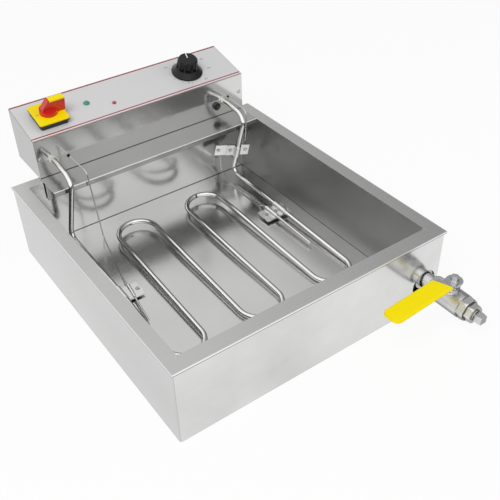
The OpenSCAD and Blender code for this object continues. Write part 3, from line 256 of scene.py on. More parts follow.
def sheet_steel(name, colour, roughness, clouds=0.1, dents=0.3, streaks=0.3, lines=()):
    """Stainless sheet: bare metal with the rolled-sheet grain. Each line is a painted band, dark for
    painted shade in a crease or under a lip, pale for a painted highlight along a folded edge,
    given as its grey and the (axis, low, high) limits it lies between."""
    m = bpy.data.materials.new(name)
    m.use_nodes = True
    tree = m.node_tree
    metal = tree.nodes["Principled BSDF"]
    metal.inputs["Metallic"].default_value = 1.0
    grain = tree.nodes.new("ShaderNodeGroup")
    grain.node_tree = rolled_sheet
    grain.inputs["Colour"].default_value = (*colour, 1)
    levels = {"Roughness": roughness, "Clouds": clouds, "Dents": dents, "Streaks": streaks}
    for label, level in levels.items():
        grain.inputs[label].default_value = level
    spot = tree.nodes.new("ShaderNodeTexCoord")
    link_up(tree, [(spot.outputs["Object"], grain.inputs["Place"]),
                   (grain.outputs["Roughness"], metal.inputs["Roughness"]),
                   (grain.outputs["Normal"], metal.inputs["Normal"])])
    place = tree.nodes.new("ShaderNodeSeparateXYZ")
    tree.links.new(spot.outputs["Object"], place.inputs[0])
    shown = grain.outputs["Colour"]
    for grey, limits in lines:
        inside = 1.0
        for axis, low, high in limits:
            inside = step(tree, "MULTIPLY", inside, between(tree, place.outputs[axis], low, high))
        shown = tinted(tree, inside, shown, (grey, grey, grey, 1))
    tree.links.new(shown, metal.inputs["Base Color"])
    return m


def eased(name, width, body, material, segments=2):
    """Copy of a CAD node with its sharp edges eased, standing for that node."""
    mesh = node[name].data.copy()
    mesh.materials.clear()
    bm = bmesh.new()
    bm.from_mesh(mesh)
    bmesh.ops.remove_doubles(bm, verts=bm.verts, dist=2e-6)
    bmesh.ops.dissolve_limit(bm, angle_limit=radians(0.6), verts=bm.verts, edges=bm.edges)
    for f in bm.faces:
        f.smooth = True
    bm.to_mesh(mesh)
    bm.free()
    mesh.materials.append(material)
    piece = bpy.data.objects.new(name + "_eased", mesh)
    bpy.context.scene.collection.objects.link(piece)
    ease = piece.modifiers.new("ease", "BEVEL")
    ease.width, ease.segments, ease.limit_method, ease.angle_limit = width, segments, "ANGLE", radians(28)
    ease.use_clamp_overlap = True
    even = piece.modifiers.new("even", "WEIGHTED_NORMAL")
    even.weight = 90
    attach(piece, body)
    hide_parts(name)
    return piece


pan_depth = 117 * mm
rim_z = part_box("oil_pan")[1].z
floor_z = rim_z - pan_depth
# Painted shade: dark bands at each wall's foot, and a far darker grey for the side walls.
pan_wall = sheet_steel("pan_wall", (0.72, 0.72, 0.715), 0.17, 0.14, 0.6, 0.15,
                       [(0.16, [("Z", floor_z, floor_z + 1.3 * mm)])])
pan_side_painted_shade = sheet_steel("pan_side_painted_shade", (0.33, 0.33, 0.327), 0.4, 0.16, 0.5, 0.02,
                       [(0.1, [("Z", floor_z, floor_z + 1.1 * mm)])])
tank_low, tank_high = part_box("oil_pan")
top_skin = ("Z", rim_z - 1.2 * mm, rim_z + mm)
# Painted shade on the rim's turned-down lip; painted highlights along the top's outer edges.
rim_face = sheet_steel("rim_face", (0.62, 0.62, 0.615), 0.26, 0.06, 0.1, 0.08,
                       [(0.3, [("Z", rim_z - 5 * mm, rim_z - 1.8 * mm)]),
                        (1.0, [top_skin, ("Y", tank_low.y - mm, tank_low.y + 1.5 * mm)]),
                        (0.85, [top_skin, ("X", tank_low.x - mm, tank_low.x + 1.3 * mm)]),
                        (0.85, [top_skin, ("X", tank_high.x - 1.3 * mm, tank_high.x + mm)])])
pan_floor = sheet_steel("pan_floor", (0.74, 0.74, 0.735), 0.2, 0.14, 0.3, 0.04)
pan = eased("oil_pan", 0.35 * mm, "tank", pan_wall)
# The rim's turned edge is 3 mm deep here, where the solid has 7 mm, and each side wall leans
# in by 8 mm at its foot, where the solid's stands upright.
edge_shorter, wall_lean = 4 * mm, 8 * mm
mouth_x, mouth_front, mouth_back = 217 * mm, -231 * mm, 237 * mm
for v in pan.data.vertices:
    down = rim_z - v.co.z
    if 5 * mm < down < 8 * mm:
        v.co.z += edge_shorter
    elif mouth_x - mm < abs(v.co.x) < mouth_x + 2.5 * mm and down > 2.5 * mm:
        v.co.x -= (wall_lean if v.co.x > 0 else -wall_lean) * down / pan_depth
for face in (rim_face, pan_floor, pan_side_painted_shade):
    pan.data.materials.append(face)
rim_band, edge_x, edge_y = 13 * mm, 235 * mm, 252 * mm
for f in pan.data.polygons:
    at_edge = abs(f.center.x) > edge_x or abs(f.center.y) > edge_y
    if f.center.z > rim_z - rim_band and (f.normal.z > 0.5 or at_edge):
        f.material_index = 1
    elif f.normal.z > 0.5:
        f.material_index = 2
    elif abs(f.normal.x) > 0.9:
        f.material_index = 3

# Small TIG welds close the folded corners of the pan's mouth: a short row of overlapping
# ripples in each, sunk a little into the rim.
ripple_count, ripple_pitch, ripple_radius = 5, 0.9 * mm, 1.5 * mm
weld_out, weld_sunk = 2.0 * mm, 0.25 * mm


def finish_tree(tree, geometry, material):
    """Ends a geometry tree: real copies, with their material, to the group's output."""
    real = tree.nodes.new("GeometryNodeRealizeInstances")
    coat = tree.nodes.new("GeometryNodeSetMaterial")
    coat.inputs["Material"].default_value = material
    link_up(tree, [(geometry, real.inputs[0]), (real.outputs[0], coat.inputs["Geometry"]),
                   (coat.outputs[0], tree.nodes.new("NodeGroupOutput").inputs[0])])


def grown(name, tree, values, place, body):
    """Plain mesh made by a geometry tree with the given input values, set down by a matrix."""
    seed = bpy.data.objects.new(name, bpy.data.meshes.new(name))
    bpy.context.scene.collection.objects.link(seed)
    maker = seed.modifiers.new("maker", "NODES")
    maker.node_group = tree
    for item in tree.interface.items_tree:
        if item.item_type == "SOCKET" and item.in_out == "INPUT" and item.name in values:
            maker[item.identifier] = values[item.name]
    made = bpy.data.meshes.new_from_object(seed.evaluated_get(bpy.context.evaluated_depsgraph_get()))
    seed.modifiers.remove(maker)
    made.transform(place)
    seed.data = made
    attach(seed, body)


def geometry_tree(name, inputs):
    """Empty geometry tree with named number inputs."""
    tree = bpy.data.node_groups.new(name, "GeometryNodeTree")
    for label, kind in inputs:
        tree.interface.new_socket(label, in_out="INPUT", socket_type="NodeSocket" + kind)
    tree.interface.new_socket("Geometry", in_out="OUTPUT", socket_type="NodeSocketGeometry")
    return tree, tree.nodes.new("NodeGroupInput").outputs


weld_steel = sheet_steel("weld_steel", (0.6, 0.6, 0.59), 0.22, 0.2, 0.4, 0.1)
weld, w_in = geometry_tree("corner_weld", [("Ripples", "Int"), ("Pitch", "Float"), ("Radius", "Float")])
row = weld.nodes.new("GeometryNodeMeshLine")
lay_out = weld.nodes.new("ShaderNodeCombineXYZ")
drop = weld.nodes.new("GeometryNodeMeshUVSphere")
drop.inputs["Segments"].default_value = 16
drop.inputs["Rings"].default_value = 8
flatten = weld.nodes.new("GeometryNodeInstanceOnPoints")
flatten.inputs["Scale"].default_value = (0.75, 1.0, 0.28)
smooth = weld.nodes.new("GeometryNodeSetShadeSmooth")
link_up(weld, [(w_in["Ripples"], row.inputs["Count"]), (w_in["Pitch"], lay_out.inputs["X"]),
               (lay_out.outputs[0], row.inputs["Offset"]), (w_in["Radius"], drop.inputs["Radius"]),
               (row.outputs[0], flatten.inputs["Points"]), (drop.outputs[0], smooth.inputs[0]),
               (smooth.outputs[0], flatten.inputs["Instance"])])
finish_tree(weld, flatten.outputs[0], weld_steel)
for i, (side, end) in enumerate(((-1, -1), (1, -1), (1, 1), (-1, 1))):
    corner_y = (mouth_back if end > 0 else mouth_front) + end * weld_out
    out = Matrix.Translation((side * (mouth_x + weld_out), corner_y, rim_z - weld_sunk))
    turn = Matrix.Rotation(atan2(end, side) + pi, 4, "Z")
    grown(f"mouth_weld_{i}", weld,
          {"Ripples": ripple_count, "Pitch": ripple_pitch, "Radius": ripple_radius},
          out @ turn, "tank")


# The outer casing and the plate under it: folded stainless sheet with a satin outside,
# hung under the pan's rim. The drain passes through a round hole in its front.
casing_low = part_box("outer_casing")[0]
# Painted shade: dark bands on the front-left fold and along the foot, and a darker grey for the sides.
fold = (0.5, [("X", casing_low.x - mm, casing_low.x + 1.6 * mm),
              ("Y", casing_low.y - mm, casing_low.y + 1.6 * mm)])
foot = (0.62, [("Z", -mm, 1.8 * mm)])
casing_face = sheet_steel("casing_face", (0.68, 0.68, 0.676), 0.16, 0.3, 0.25, 0.06, [fold, foot])
casing_side_painted_shade = sheet_steel("casing_side_painted_shade", (0.57, 0.57, 0.567), 0.24, 0.2, 0.2, 0.1, [fold])
casing = eased("outer_casing", 0.5 * mm, "tank", casing_face)
casing.data.materials.append(casing_side_painted_shade)
for f in casing.data.polygons:
    if abs(f.normal.x) > 0.9:
        f.material_index = 1


def dress(material, *names):
    """Gives CAD nodes that are shown as they are their finish."""
    for name in names:
        mesh = node[name].data
        mesh.materials.clear()
        mesh.materials.append(material)


dress(sheet_steel("base_face", (0.6, 0.6, 0.6), 0.35), "base_plate")


# The drain: a threaded stainless nipple and a cast ball valve with a bead-blasted skin,
# machined hexagons, and a square-headed plug screwed into its mouth.
blasted_skin, g_in, g_out = group_of("blasted_skin", [
    ("Place", "Vector", None), ("Colour", "Color", (0.6, 0.6, 0.59, 1)), ("Roughness", "Float", 0.4),
    ("Grit", "Float", 0.4)], [("Colour", "Color"), ("Roughness", "Float"), ("Normal", "Vector")])
grit = speckle(blasted_skin, g_in["Place"], 1500.0, 2.0)
stain = speckle(blasted_skin, g_in["Place"], 70.0, 3.0)
tint = blasted_skin.nodes.new("ShaderNodeVectorMath")
tint.operation = "SCALE"
pitted = blasted_skin.nodes.new("ShaderNodeBump")
pitted.inputs["Distance"].default_value = 0.0002
link_up(blasted_skin, [
    (g_in["Colour"], tint.inputs[0]),
    (step(blasted_skin, "ADD", 0.86, step(blasted_skin, "MULTIPLY", stain, 0.26)), tint.inputs["Scale"]),
    (tint.outputs[0], g_out["Colour"]),
    (step(blasted_skin, "ADD", g_in["Roughness"], step(blasted_skin, "MULTIPLY", stain, 0.12)),
     g_out["Roughness"]),
    (grit, pitted.inputs["Height"]), (g_in["Grit"], pitted.inputs["Strength"]),
    (pitted.outputs[0], g_out["Normal"])])


def grouped(name, group, colour, metallic=0.0, coat=0.0, specular=0.5, **levels):
    """Material whose colour, gloss and surface come from a shared effect, set by its named levels."""
    m = bpy.data.materials.new(name)
    m.use_nodes = True
    tree = m.node_tree
    face = tree.nodes["Principled BSDF"]
    face.inputs["Metallic"].default_value = metallic
    face.inputs["Coat Weight"].default_value = coat
    face.inputs["Coat Roughness"].default_value = 0.08
    face.inputs["Specular IOR Level"].default_value = specular
    effect = tree.nodes.new("ShaderNodeGroup")
    effect.node_tree = group
    effect.inputs["Colour"].default_value = (*colour, 1)
    for label, level in levels.items():
        effect.inputs[label].default_value = level
    spot = tree.nodes.new("ShaderNodeTexCoord")
    link_up(tree, [(spot.outputs["Object"], effect.inputs["Place"]),
                   (effect.outputs["Colour"], face.inputs["Base Color"]),
                   (effect.outputs["Roughness"], face.inputs["Roughness"]),
                   (effect.outputs["Normal"], face.inputs["Normal"])])
    return m


def ring(name, at, axis, section, material, body, steps=32):
    """Piece turned about an axis from a section of (radius, height) points."""
    bm = bmesh.new()
    rows = []
    for i in range(steps):
        a = 2 * pi * i / steps
        rows.append([bm.verts.new((r * cos(a), r * sin(a), h)) for r, h in section])
    for i in range(steps):
        near, far = rows[i], rows[(i + 1) % steps]
        for j in range(len(section) - 1):
            bm.faces.new((near[j], far[j], far[j + 1], near[j + 1]))
    bmesh.ops.remove_doubles(bm, verts=bm.verts, dist=1e-7)
    bmesh.ops.holes_fill(bm, edges=[e for e in bm.edges if e.is_boundary])
    bmesh.ops.recalc_face_normals(bm, faces=bm.faces)
    for f in bm.faces:
        f.smooth = True
    mesh = bpy.data.meshes.new(name)
    bm.to_mesh(mesh)
    turn = Vector((0, 0, 1)).rotation_difference(Vector(axis)).to_matrix().to_4x4()
    mesh.transform(Matrix.Translation(at) @ turn)
    mesh.set_sharp_from_angle(angle=radians(50))
    mesh.materials.append(material)
    piece = bpy.data.objects.new(name, mesh)
    bpy.context.scene.collection.objects.link(piece)
    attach(piece, body)


def edge_darkened(material, amount):
    """Paints round polished metal dark towards its outline: a painted reflection of the dim room."""
    tree = material.node_tree
    face = tree.nodes["Principled BSDF"]
    outline = tree.nodes.new("ShaderNodeLayerWeight")
    outline.inputs["Blend"].default_value = 0.5
    near_edge = ramp_of(tree, outline.outputs["Facing"], 0.3, 0.75, 0.0, amount)
    plain_colour = face.inputs["Base Color"].links[0].from_socket
    painted_reflection = tinted(tree, near_edge, plain_colour, (0.06, 0.06, 0.06, 1))
    tree.links.new(painted_reflection, face.inputs["Base Color"])
    return material


cast_steel = grouped("cast_steel", blasted_skin, (0.72, 0.72, 0.715), 1.0, Roughness=0.32, Grit=0.5)
machined_steel = grouped("machined_steel", blasted_skin, (0.74, 0.74, 0.735), 1.0, Roughness=0.17, Grit=0.12)
# Cast and machined steel carry a painted reflection: darker towards their outline.
for turned in (cast_steel, machined_steel):
    edge_darkened(turned, 0.75)
eased("drain_pipe", 0.3 * mm, "tank", machined_steel)
eased("valve_body", 0.7 * mm, "tank", cast_steel, 3)
eased("valve_end_cap", 0.5 * mm, "tank", cast_steel)
eased("packing_nut", 0.4 * mm, "tank", machined_steel)
eased("outlet_bushing", 0.5 * mm, "tank", machined_steel)
eased("drain_plug", 0.7 * mm, "plug", cast_steel)
# Painted shade: the dark rings in the plug's thread and at the joint in front of the end cap.
painted_gap_shade = grouped("painted_gap_shade", blasted_skin, (0.12, 0.12, 0.12), 1.0, Roughness=0.3, Grit=0.2)
drain_x, drain_z = 209 * mm, 54.5 * mm
root_radius, crest_radius, half_pitch = 8.5 * mm, 9.4 * mm, 0.5 * mm
thread_root = Vector((drain_x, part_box("outlet_bushing")[0].y - 0.02 * mm, drain_z))
turns = [(crest_radius if i % 2 else root_radius, i * half_pitch) for i in range(5)]
ring("plug_thread", thread_root, (0, -1, 0), turns, painted_gap_shade, "plug", 48)
joint_groove = Vector((drain_x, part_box("valve_end_cap")[0].y - 0.9 * mm, drain_z))
joint_shade_section = [(13.0 * mm, 0), (16.0 * mm, 0.1 * mm), (16.0 * mm, 0.9 * mm), (13.0 * mm, 0.9 * mm)]
ring("joint_shade_ring", joint_groove, (0, 1, 0), joint_shade_section, painted_gap_shade, "tank", 48)
eased("valve_stem", 0.4 * mm, "valve_handle", machined_steel)
dress(grouped("polished_ball", blasted_skin, (0.8, 0.8, 0.8), 1.0, Roughness=0.02, Grit=0.0), "valve_ball")
dress(grouped("seat_ring", blasted_skin, (0.85, 0.85, 0.82), Roughness=0.4, Grit=0.1), "valve_seats")

# The lever: a stamped strip stepped up to clear the valve, held by a nut on the stem, with
# a thick dipped vinyl sleeve for a grip.
moulded_skin, g_in, g_out = group_of("moulded_skin", [
    ("Place", "Vector", None), ("Colour", "Color", (0.5, 0.5, 0.5, 1)), ("Roughness", "Float", 0.35),
    ("Texture", "Float", 900.0), ("Depth", "Float", 0.2), ("Dust", "Float", 0.05)],
    [("Colour", "Color"), ("Roughness", "Float"), ("Normal", "Vector")])
pebble = moulded_skin.nodes.new("ShaderNodeTexNoise")
pebble.inputs["Detail"].default_value = 2.0
bloom = speckle(moulded_skin, g_in["Place"], 60.0, 4.0, 0.65)
dust = step(moulded_skin, "MULTIPLY", step(moulded_skin, "SUBTRACT", bloom, 0.35, True), g_in["Dust"])
dusty = tinted(moulded_skin, dust, g_in["Colour"], (0.55, 0.54, 0.52, 1))
ripple = moulded_skin.nodes.new("ShaderNodeBump")
ripple.inputs["Distance"].default_value = 0.0003
link_up(moulded_skin, [
    (g_in["Place"], pebble.inputs["Vector"]), (g_in["Texture"], pebble.inputs["Scale"]),
    (dusty, g_out["Colour"]),
    (step(moulded_skin, "ADD", g_in["Roughness"], step(moulded_skin, "MULTIPLY",
          step(moulded_skin, "SUBTRACT", bloom, 0.5), 0.16)), g_out["Roughness"]),
    (pebble.outputs["Fac"], ripple.inputs["Height"]), (g_in["Depth"], ripple.inputs["Strength"]),
    (ripple.outputs[0], g_out["Normal"])])
vinyl = grouped("yellow_vinyl", moulded_skin, (1.0, 0.81, 0.0), specular=0.12,
                Roughness=0.45, Texture=500.0, Depth=0.12, Dust=0.02)
strip_steel = grouped("strip_steel", blasted_skin, (0.62, 0.63, 0.64), 1.0, Roughness=0.24, Grit=0.15)
eased("valve_lever", 0.5 * mm, "valve_handle", strip_steel)
eased("lever_sleeve", 1.4 * mm, "valve_handle", vinyl, 3)
eased("lever_nut", 0.5 * mm, "valve_handle", machined_steel)


# The control head: a folded stainless box on a shelf that bridges the pan's back rim,
# its lip turned down in front and a plate hooked behind the rim.
# Painted shade: the chassis and back cover take a darker grey than the front panel.
head_side_painted_shade = sheet_steel("head_side_painted_shade", (0.46, 0.46, 0.458), 0.25, 0.12, 0.08, 0.2)
shelf_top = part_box("mounting_shelf")[1].z
# A dark band on the front panel just above the shelf is painted shade in the corner.
head_front = sheet_steel("head_front", (0.66, 0.66, 0.655), 0.13, 0.12, 0.12, 0.12,
                         [(0.12, [("Z", shelf_top - mm, shelf_top + 1.1 * mm)])])
shelf_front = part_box("mounting_shelf")[0].y
# A pale band along the shelf's front edge is a painted highlight.
shelf_face = sheet_steel("shelf_face", (0.5, 0.5, 0.496), 0.22, 0.12, 0.06, 0.2,
                         [(1.0, [("Z", shelf_top - 1.6 * mm, shelf_top + mm),
                                 ("Y", shelf_front - mm, shelf_front + 1.6 * mm)])])
eased("head_chassis", 0.4 * mm, "control_head", head_side_painted_shade)
eased("front_panel", 0.25 * mm, "control_head", head_front)
eased("back_cover", 0.25 * mm, "control_head", head_side_painted_shade)
eased("mounting_shelf", 0.5 * mm, "control_head", shelf_face)
bolt_steel = grouped("bolt_steel", blasted_skin, (0.66, 0.66, 0.65), 1.0, Roughness=0.18, Grit=0.1)
dress(bolt_steel, "front_screws", "cover_screws")


# The control label: pale grey printed film over the head's sloping top, with a maroon line
# along each long edge and plain numbers round the dial.
front_y, front_top, head_rise, head_depth = 248 * mm, 205 * mm, 22.5 * mm, 92 * mm
slope = atan2(head_rise, head_depth)
panel_place = Matrix.Translation((0, front_y, front_top)) @ Matrix.Rotation(slope, 4, "X")
film = bpy.data.materials.new("printed_film")
film.use_nodes = True
t = film.node_tree
face = t.nodes["Principled BSDF"]
face.inputs["Coat Weight"].default_value = 0.25
face.inputs["Coat Roughness"].default_value = 0.3
skin = t.nodes.new("ShaderNodeGroup")
skin.node_tree = moulded_skin
film_levels = {"Colour": (0.71, 0.7, 0.71, 1), "Roughness": 0.42, "Texture": 700.0, "Depth": 0.06, "Dust": 0.06}
for label, level in film_levels.items():
    skin.inputs[label].default_value = level
spot = t.nodes.new("ShaderNodeTexCoord")
flat = t.nodes.new("ShaderNodeSeparateXYZ")
link_up(t, [(spot.outputs["Object"], skin.inputs["Place"]), (spot.outputs["Object"], flat.inputs[0]),
            (skin.outputs["Roughness"], face.inputs["Roughness"]),
            (skin.outputs["Normal"], face.inputs["Normal"])])
colour = skin.outputs["Colour"]
up_slope = step(t, "DIVIDE", step(t, "SUBTRACT", flat.outputs["Y"], front_y), cos(slope))
# From the front edge up: thin pink and white bands, a painted highlight of the front bend, then
# the printed maroon line; the last band is the printed maroon line at the back edge.
print_and_highlight_bands = ((4.2, 6.8, (0.32, 0.03, 0.04, 1)), (1.6, 4.2, (0.8, 0.78, 0.78, 1)),
               (0.2, 1.6, (0.62, 0.34, 0.35, 1)), (90.5, 93.4, (0.32, 0.04, 0.05, 1)))
for low, high, ink_and_highlight in print_and_highlight_bands:
    colour = tinted(t, between(t, up_slope, low * mm, high * mm), colour, ink_and_highlight)
t.links.new(colour, face.inputs["Base Color"])
eased("panel_overlay", 0.1 * mm, "control_head", film, 1)

ink_grey = grouped("grey_ink", moulded_skin, (0.11, 0.11, 0.12), Roughness=0.5, Texture=900.0, Depth=0.05)


def printed(name, words, lift, body, material):
    """Flat printing on the panel: words is a list of (text, x, distance up the slope, height)."""
    whole = bmesh.new()
    for text, x, s, high in words:
        letters = bpy.data.curves.new(name, "FONT")
        letters.body, letters.size = text, high
        letters.align_x, letters.align_y = "CENTER", "CENTER"
        letters.extrude = 0.015 * mm
        holder = bpy.data.objects.new(name + "_draft", letters)
        bpy.context.scene.collection.objects.link(holder)
        mesh = bpy.data.meshes.new_from_object(holder.evaluated_get(bpy.context.evaluated_depsgraph_get()))
        mesh.transform(panel_place @ Matrix.Translation((x, s, lift)))
        whole.from_mesh(mesh)
        bpy.data.objects.remove(holder)
    mesh = bpy.data.meshes.new(name)
    whole.to_mesh(mesh)
    mesh.materials.append(material)
    piece = bpy.data.objects.new(name, mesh)
    bpy.context.scene.collection.objects.link(piece)
    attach(piece, body)


film_top, number_height = 0.42 * mm, 5 * mm
dial = (("0", 118.5, 18.8), ("200", 103, 75), ("250", 176, 69), ("300", 175, 40), ("350", 152, 15))
printed("dial_numbers", [(number, x * mm, s * mm, number_height) for number, x, s in dial],
        film_top, "control_head", ink_grey)
ticks, t_in = geometry_tree("dial_ticks", [
    ("Count", "Int"), ("Radius", "Float"), ("Sweep", "Float"), ("Start", "Float"),
    ("Length", "Float"), ("Width", "Float")])
arc = ticks.nodes.new("GeometryNodeCurveArc")
arc_points = ticks.nodes.new("GeometryNodeCurveToPoints")
bar = ticks.nodes.new("GeometryNodeMeshCube")
bar_size = ticks.nodes.new("ShaderNodeCombineXYZ")
bar_size.inputs["Z"].default_value = 0.03 * mm
set_bars = ticks.nodes.new("GeometryNodeInstanceOnPoints")
link_up(ticks, [(t_in["Count"], arc.inputs["Resolution"]), (t_in["Radius"], arc.inputs["Radius"]),
                (t_in["Sweep"], arc.inputs["Sweep Angle"]), (t_in["Start"], arc.inputs["Start Angle"]),
                (arc.outputs[0], arc_points.inputs["Curve"]), (t_in["Count"], arc_points.inputs["Count"]),
                (t_in["Length"], bar_size.inputs["X"]), (t_in["Width"], bar_size.inputs["Y"]),
                (bar_size.outputs[0], bar.inputs["Size"]),
                (arc_points.outputs["Points"], set_bars.inputs["Points"]),
                (bar.outputs[0], set_bars.inputs["Instance"])])
turn_bars = ticks.nodes.new("GeometryNodeRotateInstances")
where = ticks.nodes.new("GeometryNodeInputPosition")
apart = ticks.nodes.new("ShaderNodeSeparateXYZ")
about = ticks.nodes.new("ShaderNodeCombineXYZ")
link_up(ticks, [(where.outputs[0], apart.inputs[0]),
                (step(ticks, "ARCTAN2", apart.outputs["Y"], apart.outputs["X"]), about.inputs["Z"]),
                (about.outputs[0], turn_bars.inputs["Rotation"]),
                (set_bars.outputs[0], turn_bars.inputs["Instances"])])
finish_tree(ticks, turn_bars.outputs[0], ink_grey)
knob_place = panel_place @ Matrix.Translation((132 * mm, 48 * mm, 0.43 * mm))
grown("dial_ticks", ticks,
      {"Count": 11, "Radius": 32.5 * mm, "Sweep": radians(297), "Start": radians(-41.5),
       "Length": 3.0 * mm, "Width": 0.5 * mm}, knob_place, "control_head")


# The power switch: a black base and a square yellow plate with the usual two marks,
# and a red handle on a round foot with a yellow stripe let into its top.
yellow = grouped("yellow_plastic", moulded_skin, (1.0, 0.8, 0.0), specular=0.2,
                 Roughness=0.34, Texture=1200.0, Depth=0.1, Dust=0.02)
red = grouped("red_plastic", moulded_skin, (0.62, 0.012, 0.01), coat=0.35,
              Roughness=0.24, Texture=900.0, Depth=0.08, Dust=0.03)
black = grouped("black_plastic", moulded_skin, (0.015, 0.015, 0.016),
                Roughness=0.36, Texture=1000.0, Depth=0.15, Dust=0.04)
eased("switch_base", 0.6 * mm, "control_head", black)
eased("switch_plate", 0.6 * mm, "control_head", yellow)
eased("switch_handle", 0.9 * mm, "power_switch", red, 3)
eased("handle_stripe", 0.5 * mm, "power_switch", yellow)
dress(black, "switch_body")
film_height, base_height, plate_height, mark_height = 0.4 * mm, 10 * mm, 3 * mm, 6 * mm
plate_top = film_height + base_height + plate_height + 0.02 * mm
printed("switch_marks", [("O", -162 * mm, 42.5 * mm, mark_height), ("I", -142 * mm, 62.5 * mm, mark_height)],
        plate_top, "control_head", ink_grey)


# The temperature knob: glossy black phenolic with a wide skirt and a fluted grip,
# a white line let into its top.
phenolic = grouped("black_phenolic", moulded_skin, (0.006, 0.006, 0.007), coat=0.2, specular=0.2,
                   Roughness=0.14, Texture=700.0, Depth=0.05, Dust=0.02)
eased("thermostat_knob", 0.4 * mm, "temperature_knob", phenolic)
dress(grouped("white_line", moulded_skin, (0.86, 0.86, 0.85), Roughness=0.5, Depth=0.1), "knob_pointer")
dress(grouped("thermostat_case", blasted_skin, (0.55, 0.56, 0.56), 1.0,
              Roughness=0.35, Grit=0.2), "thermostat_body")


# The two signal lamps between the switch and the knob: small domed lenses of tinted plastic,
# green and red, faceted inside, each over a neon lamp.
def lens(name, colour, dark):
    """Tinted lens with a brighter heart and moulded ribs."""
    m = bpy.data.materials.new(name)
    m.use_nodes = True
    tree = m.node_tree
    face = tree.nodes["Principled BSDF"]
    face.inputs["Roughness"].default_value = 0.08
    face.inputs["Coat Weight"].default_value = 0.8
    face.inputs["Coat Roughness"].default_value = 0.03
    spot = tree.nodes.new("ShaderNodeTexCoord")
    cell = tree.nodes.new("ShaderNodeTexVoronoi")
    cell.inputs["Scale"].default_value = 550.0
    mix = tree.nodes.new("ShaderNodeMix")
    mix.data_type = "RGBA"
    mix.inputs[6].default_value = (*colour, 1)
    mix.inputs[7].default_value = (*dark, 1)
    dent = tree.nodes.new("ShaderNodeBump")
    dent.inputs["Distance"].default_value = 0.0006
    dent.inputs["Strength"].default_value = 0.5
    link_up(tree, [(spot.outputs["Object"], cell.inputs["Vector"]),
                   (cell.outputs["Distance"], mix.inputs[0]), (mix.outputs[2], face.inputs["Base Color"]),
                   (cell.outputs["Distance"], dent.inputs["Height"]),
                   (dent.outputs[0], face.inputs["Normal"])])
    return m


green = lens("green_lens", (0.04, 0.42, 0.24), (0.01, 0.16, 0.1))
eased("green_lamp", 0.3 * mm, "control_head", green)
ruby = lens("red_lens", (0.6, 0.04, 0.05), (0.25, 0.01, 0.015))
eased("red_lamp", 0.2 * mm, "control_head", ruby)


# The reset of the high-limit switch, right of the middle of the head's front: a black collar
# round a dark button. Beside it a small flat disc of black rubber sits on the front.
rubber = grouped("black_rubber", moulded_skin, (0.012, 0.012, 0.012),
                 Roughness=0.55, Texture=800.0, Depth=0.3, Dust=0.1)
eased("reset_collar", 0.4 * mm, "control_head", black)
dress(grouped("dark_button", moulded_skin, (0.03, 0.03, 0.03), coat=0.5,
              Roughness=0.2, Depth=0.15, Dust=0.1), "reset_button")
dress(black, "high_limit_body")
disc_x, disc_z = 175.3 * mm, 160 * mm
disc_section = [(0, 1.1 * mm), (2.0 * mm, 1.0 * mm), (3.0 * mm, 0.6 * mm), (3.4 * mm, 0.02 * mm),
                (0, 0.02 * mm)]
ring("front_disc", (disc_x, front_y, disc_z), (0, -1, 0), disc_section, rubber,
     "control_head")


# The heating element: one bright stainless tube bent in three long loops, with two legs
# that rise over the shelf into screwed glands in the head's front.
drawn_tube, g_in, g_out = group_of("drawn_tube", [
    ("Place", "Vector", None), ("Colour", "Color", (0.6, 0.6, 0.59, 1)), ("Roughness", "Float", 0.14),
    ("Straw", "Float", 0.15)], [("Colour", "Color"), ("Roughness", "Float"), ("Normal", "Vector")])
haze = speckle(drawn_tube, g_in["Place"], 26.0, 4.0, 0.6)
fine = speckle(drawn_tube, g_in["Place"], 900.0, 2.0)
heat = step(drawn_tube, "MULTIPLY", step(drawn_tube, "SUBTRACT", haze, 0.42, True), g_in["Straw"])
straw = tinted(drawn_tube, heat, g_in["Colour"], (0.5, 0.46, 0.38, 1))
scratched = drawn_tube.nodes.new("ShaderNodeBump")
scratched.inputs["Distance"].default_value = 0.0001
scratched.inputs["Strength"].default_value = 0.15
link_up(drawn_tube, [
    (straw, g_out["Colour"]),
    (step(drawn_tube, "ADD", g_in["Roughness"], step(drawn_tube, "MULTIPLY", haze, 0.08)),
     g_out["Roughness"]),
    (fine, scratched.inputs["Height"]), (scratched.outputs[0], g_out["Normal"])])
# The element tube carries a strong painted reflection, dark towards its outline.
heater = edge_darkened(grouped("heater_tube", drawn_tube, (0.82, 0.815, 0.8), 1.0,
                               Roughness=0.07, Straw=0.5), 0.95)
dress(heater, "element_right_leg")


def rounded_path(corners, radii, arc_steps=16):
    """Points along straight runs joined by round bends."""
    points = [corners[0]]
    for before, corner, after, r in zip(corners, corners[1:], corners[2:], radii[1:]):
        a, b = (before - corner).normalized(), (after - corner).normalized()
        half = a.angle(b) / 2
        middle = corner + (a + b).normalized() * (r / sin(half))
        reach = r * cos(half) / sin(half)
        start, end = (corner + a * reach - middle).normalized(), (corner + b * reach - middle).normalized()
        points += [middle + start.slerp(end, i / arc_steps).normalized() * r for i in range(arc_steps + 1)]
    return points + [corners[-1]]


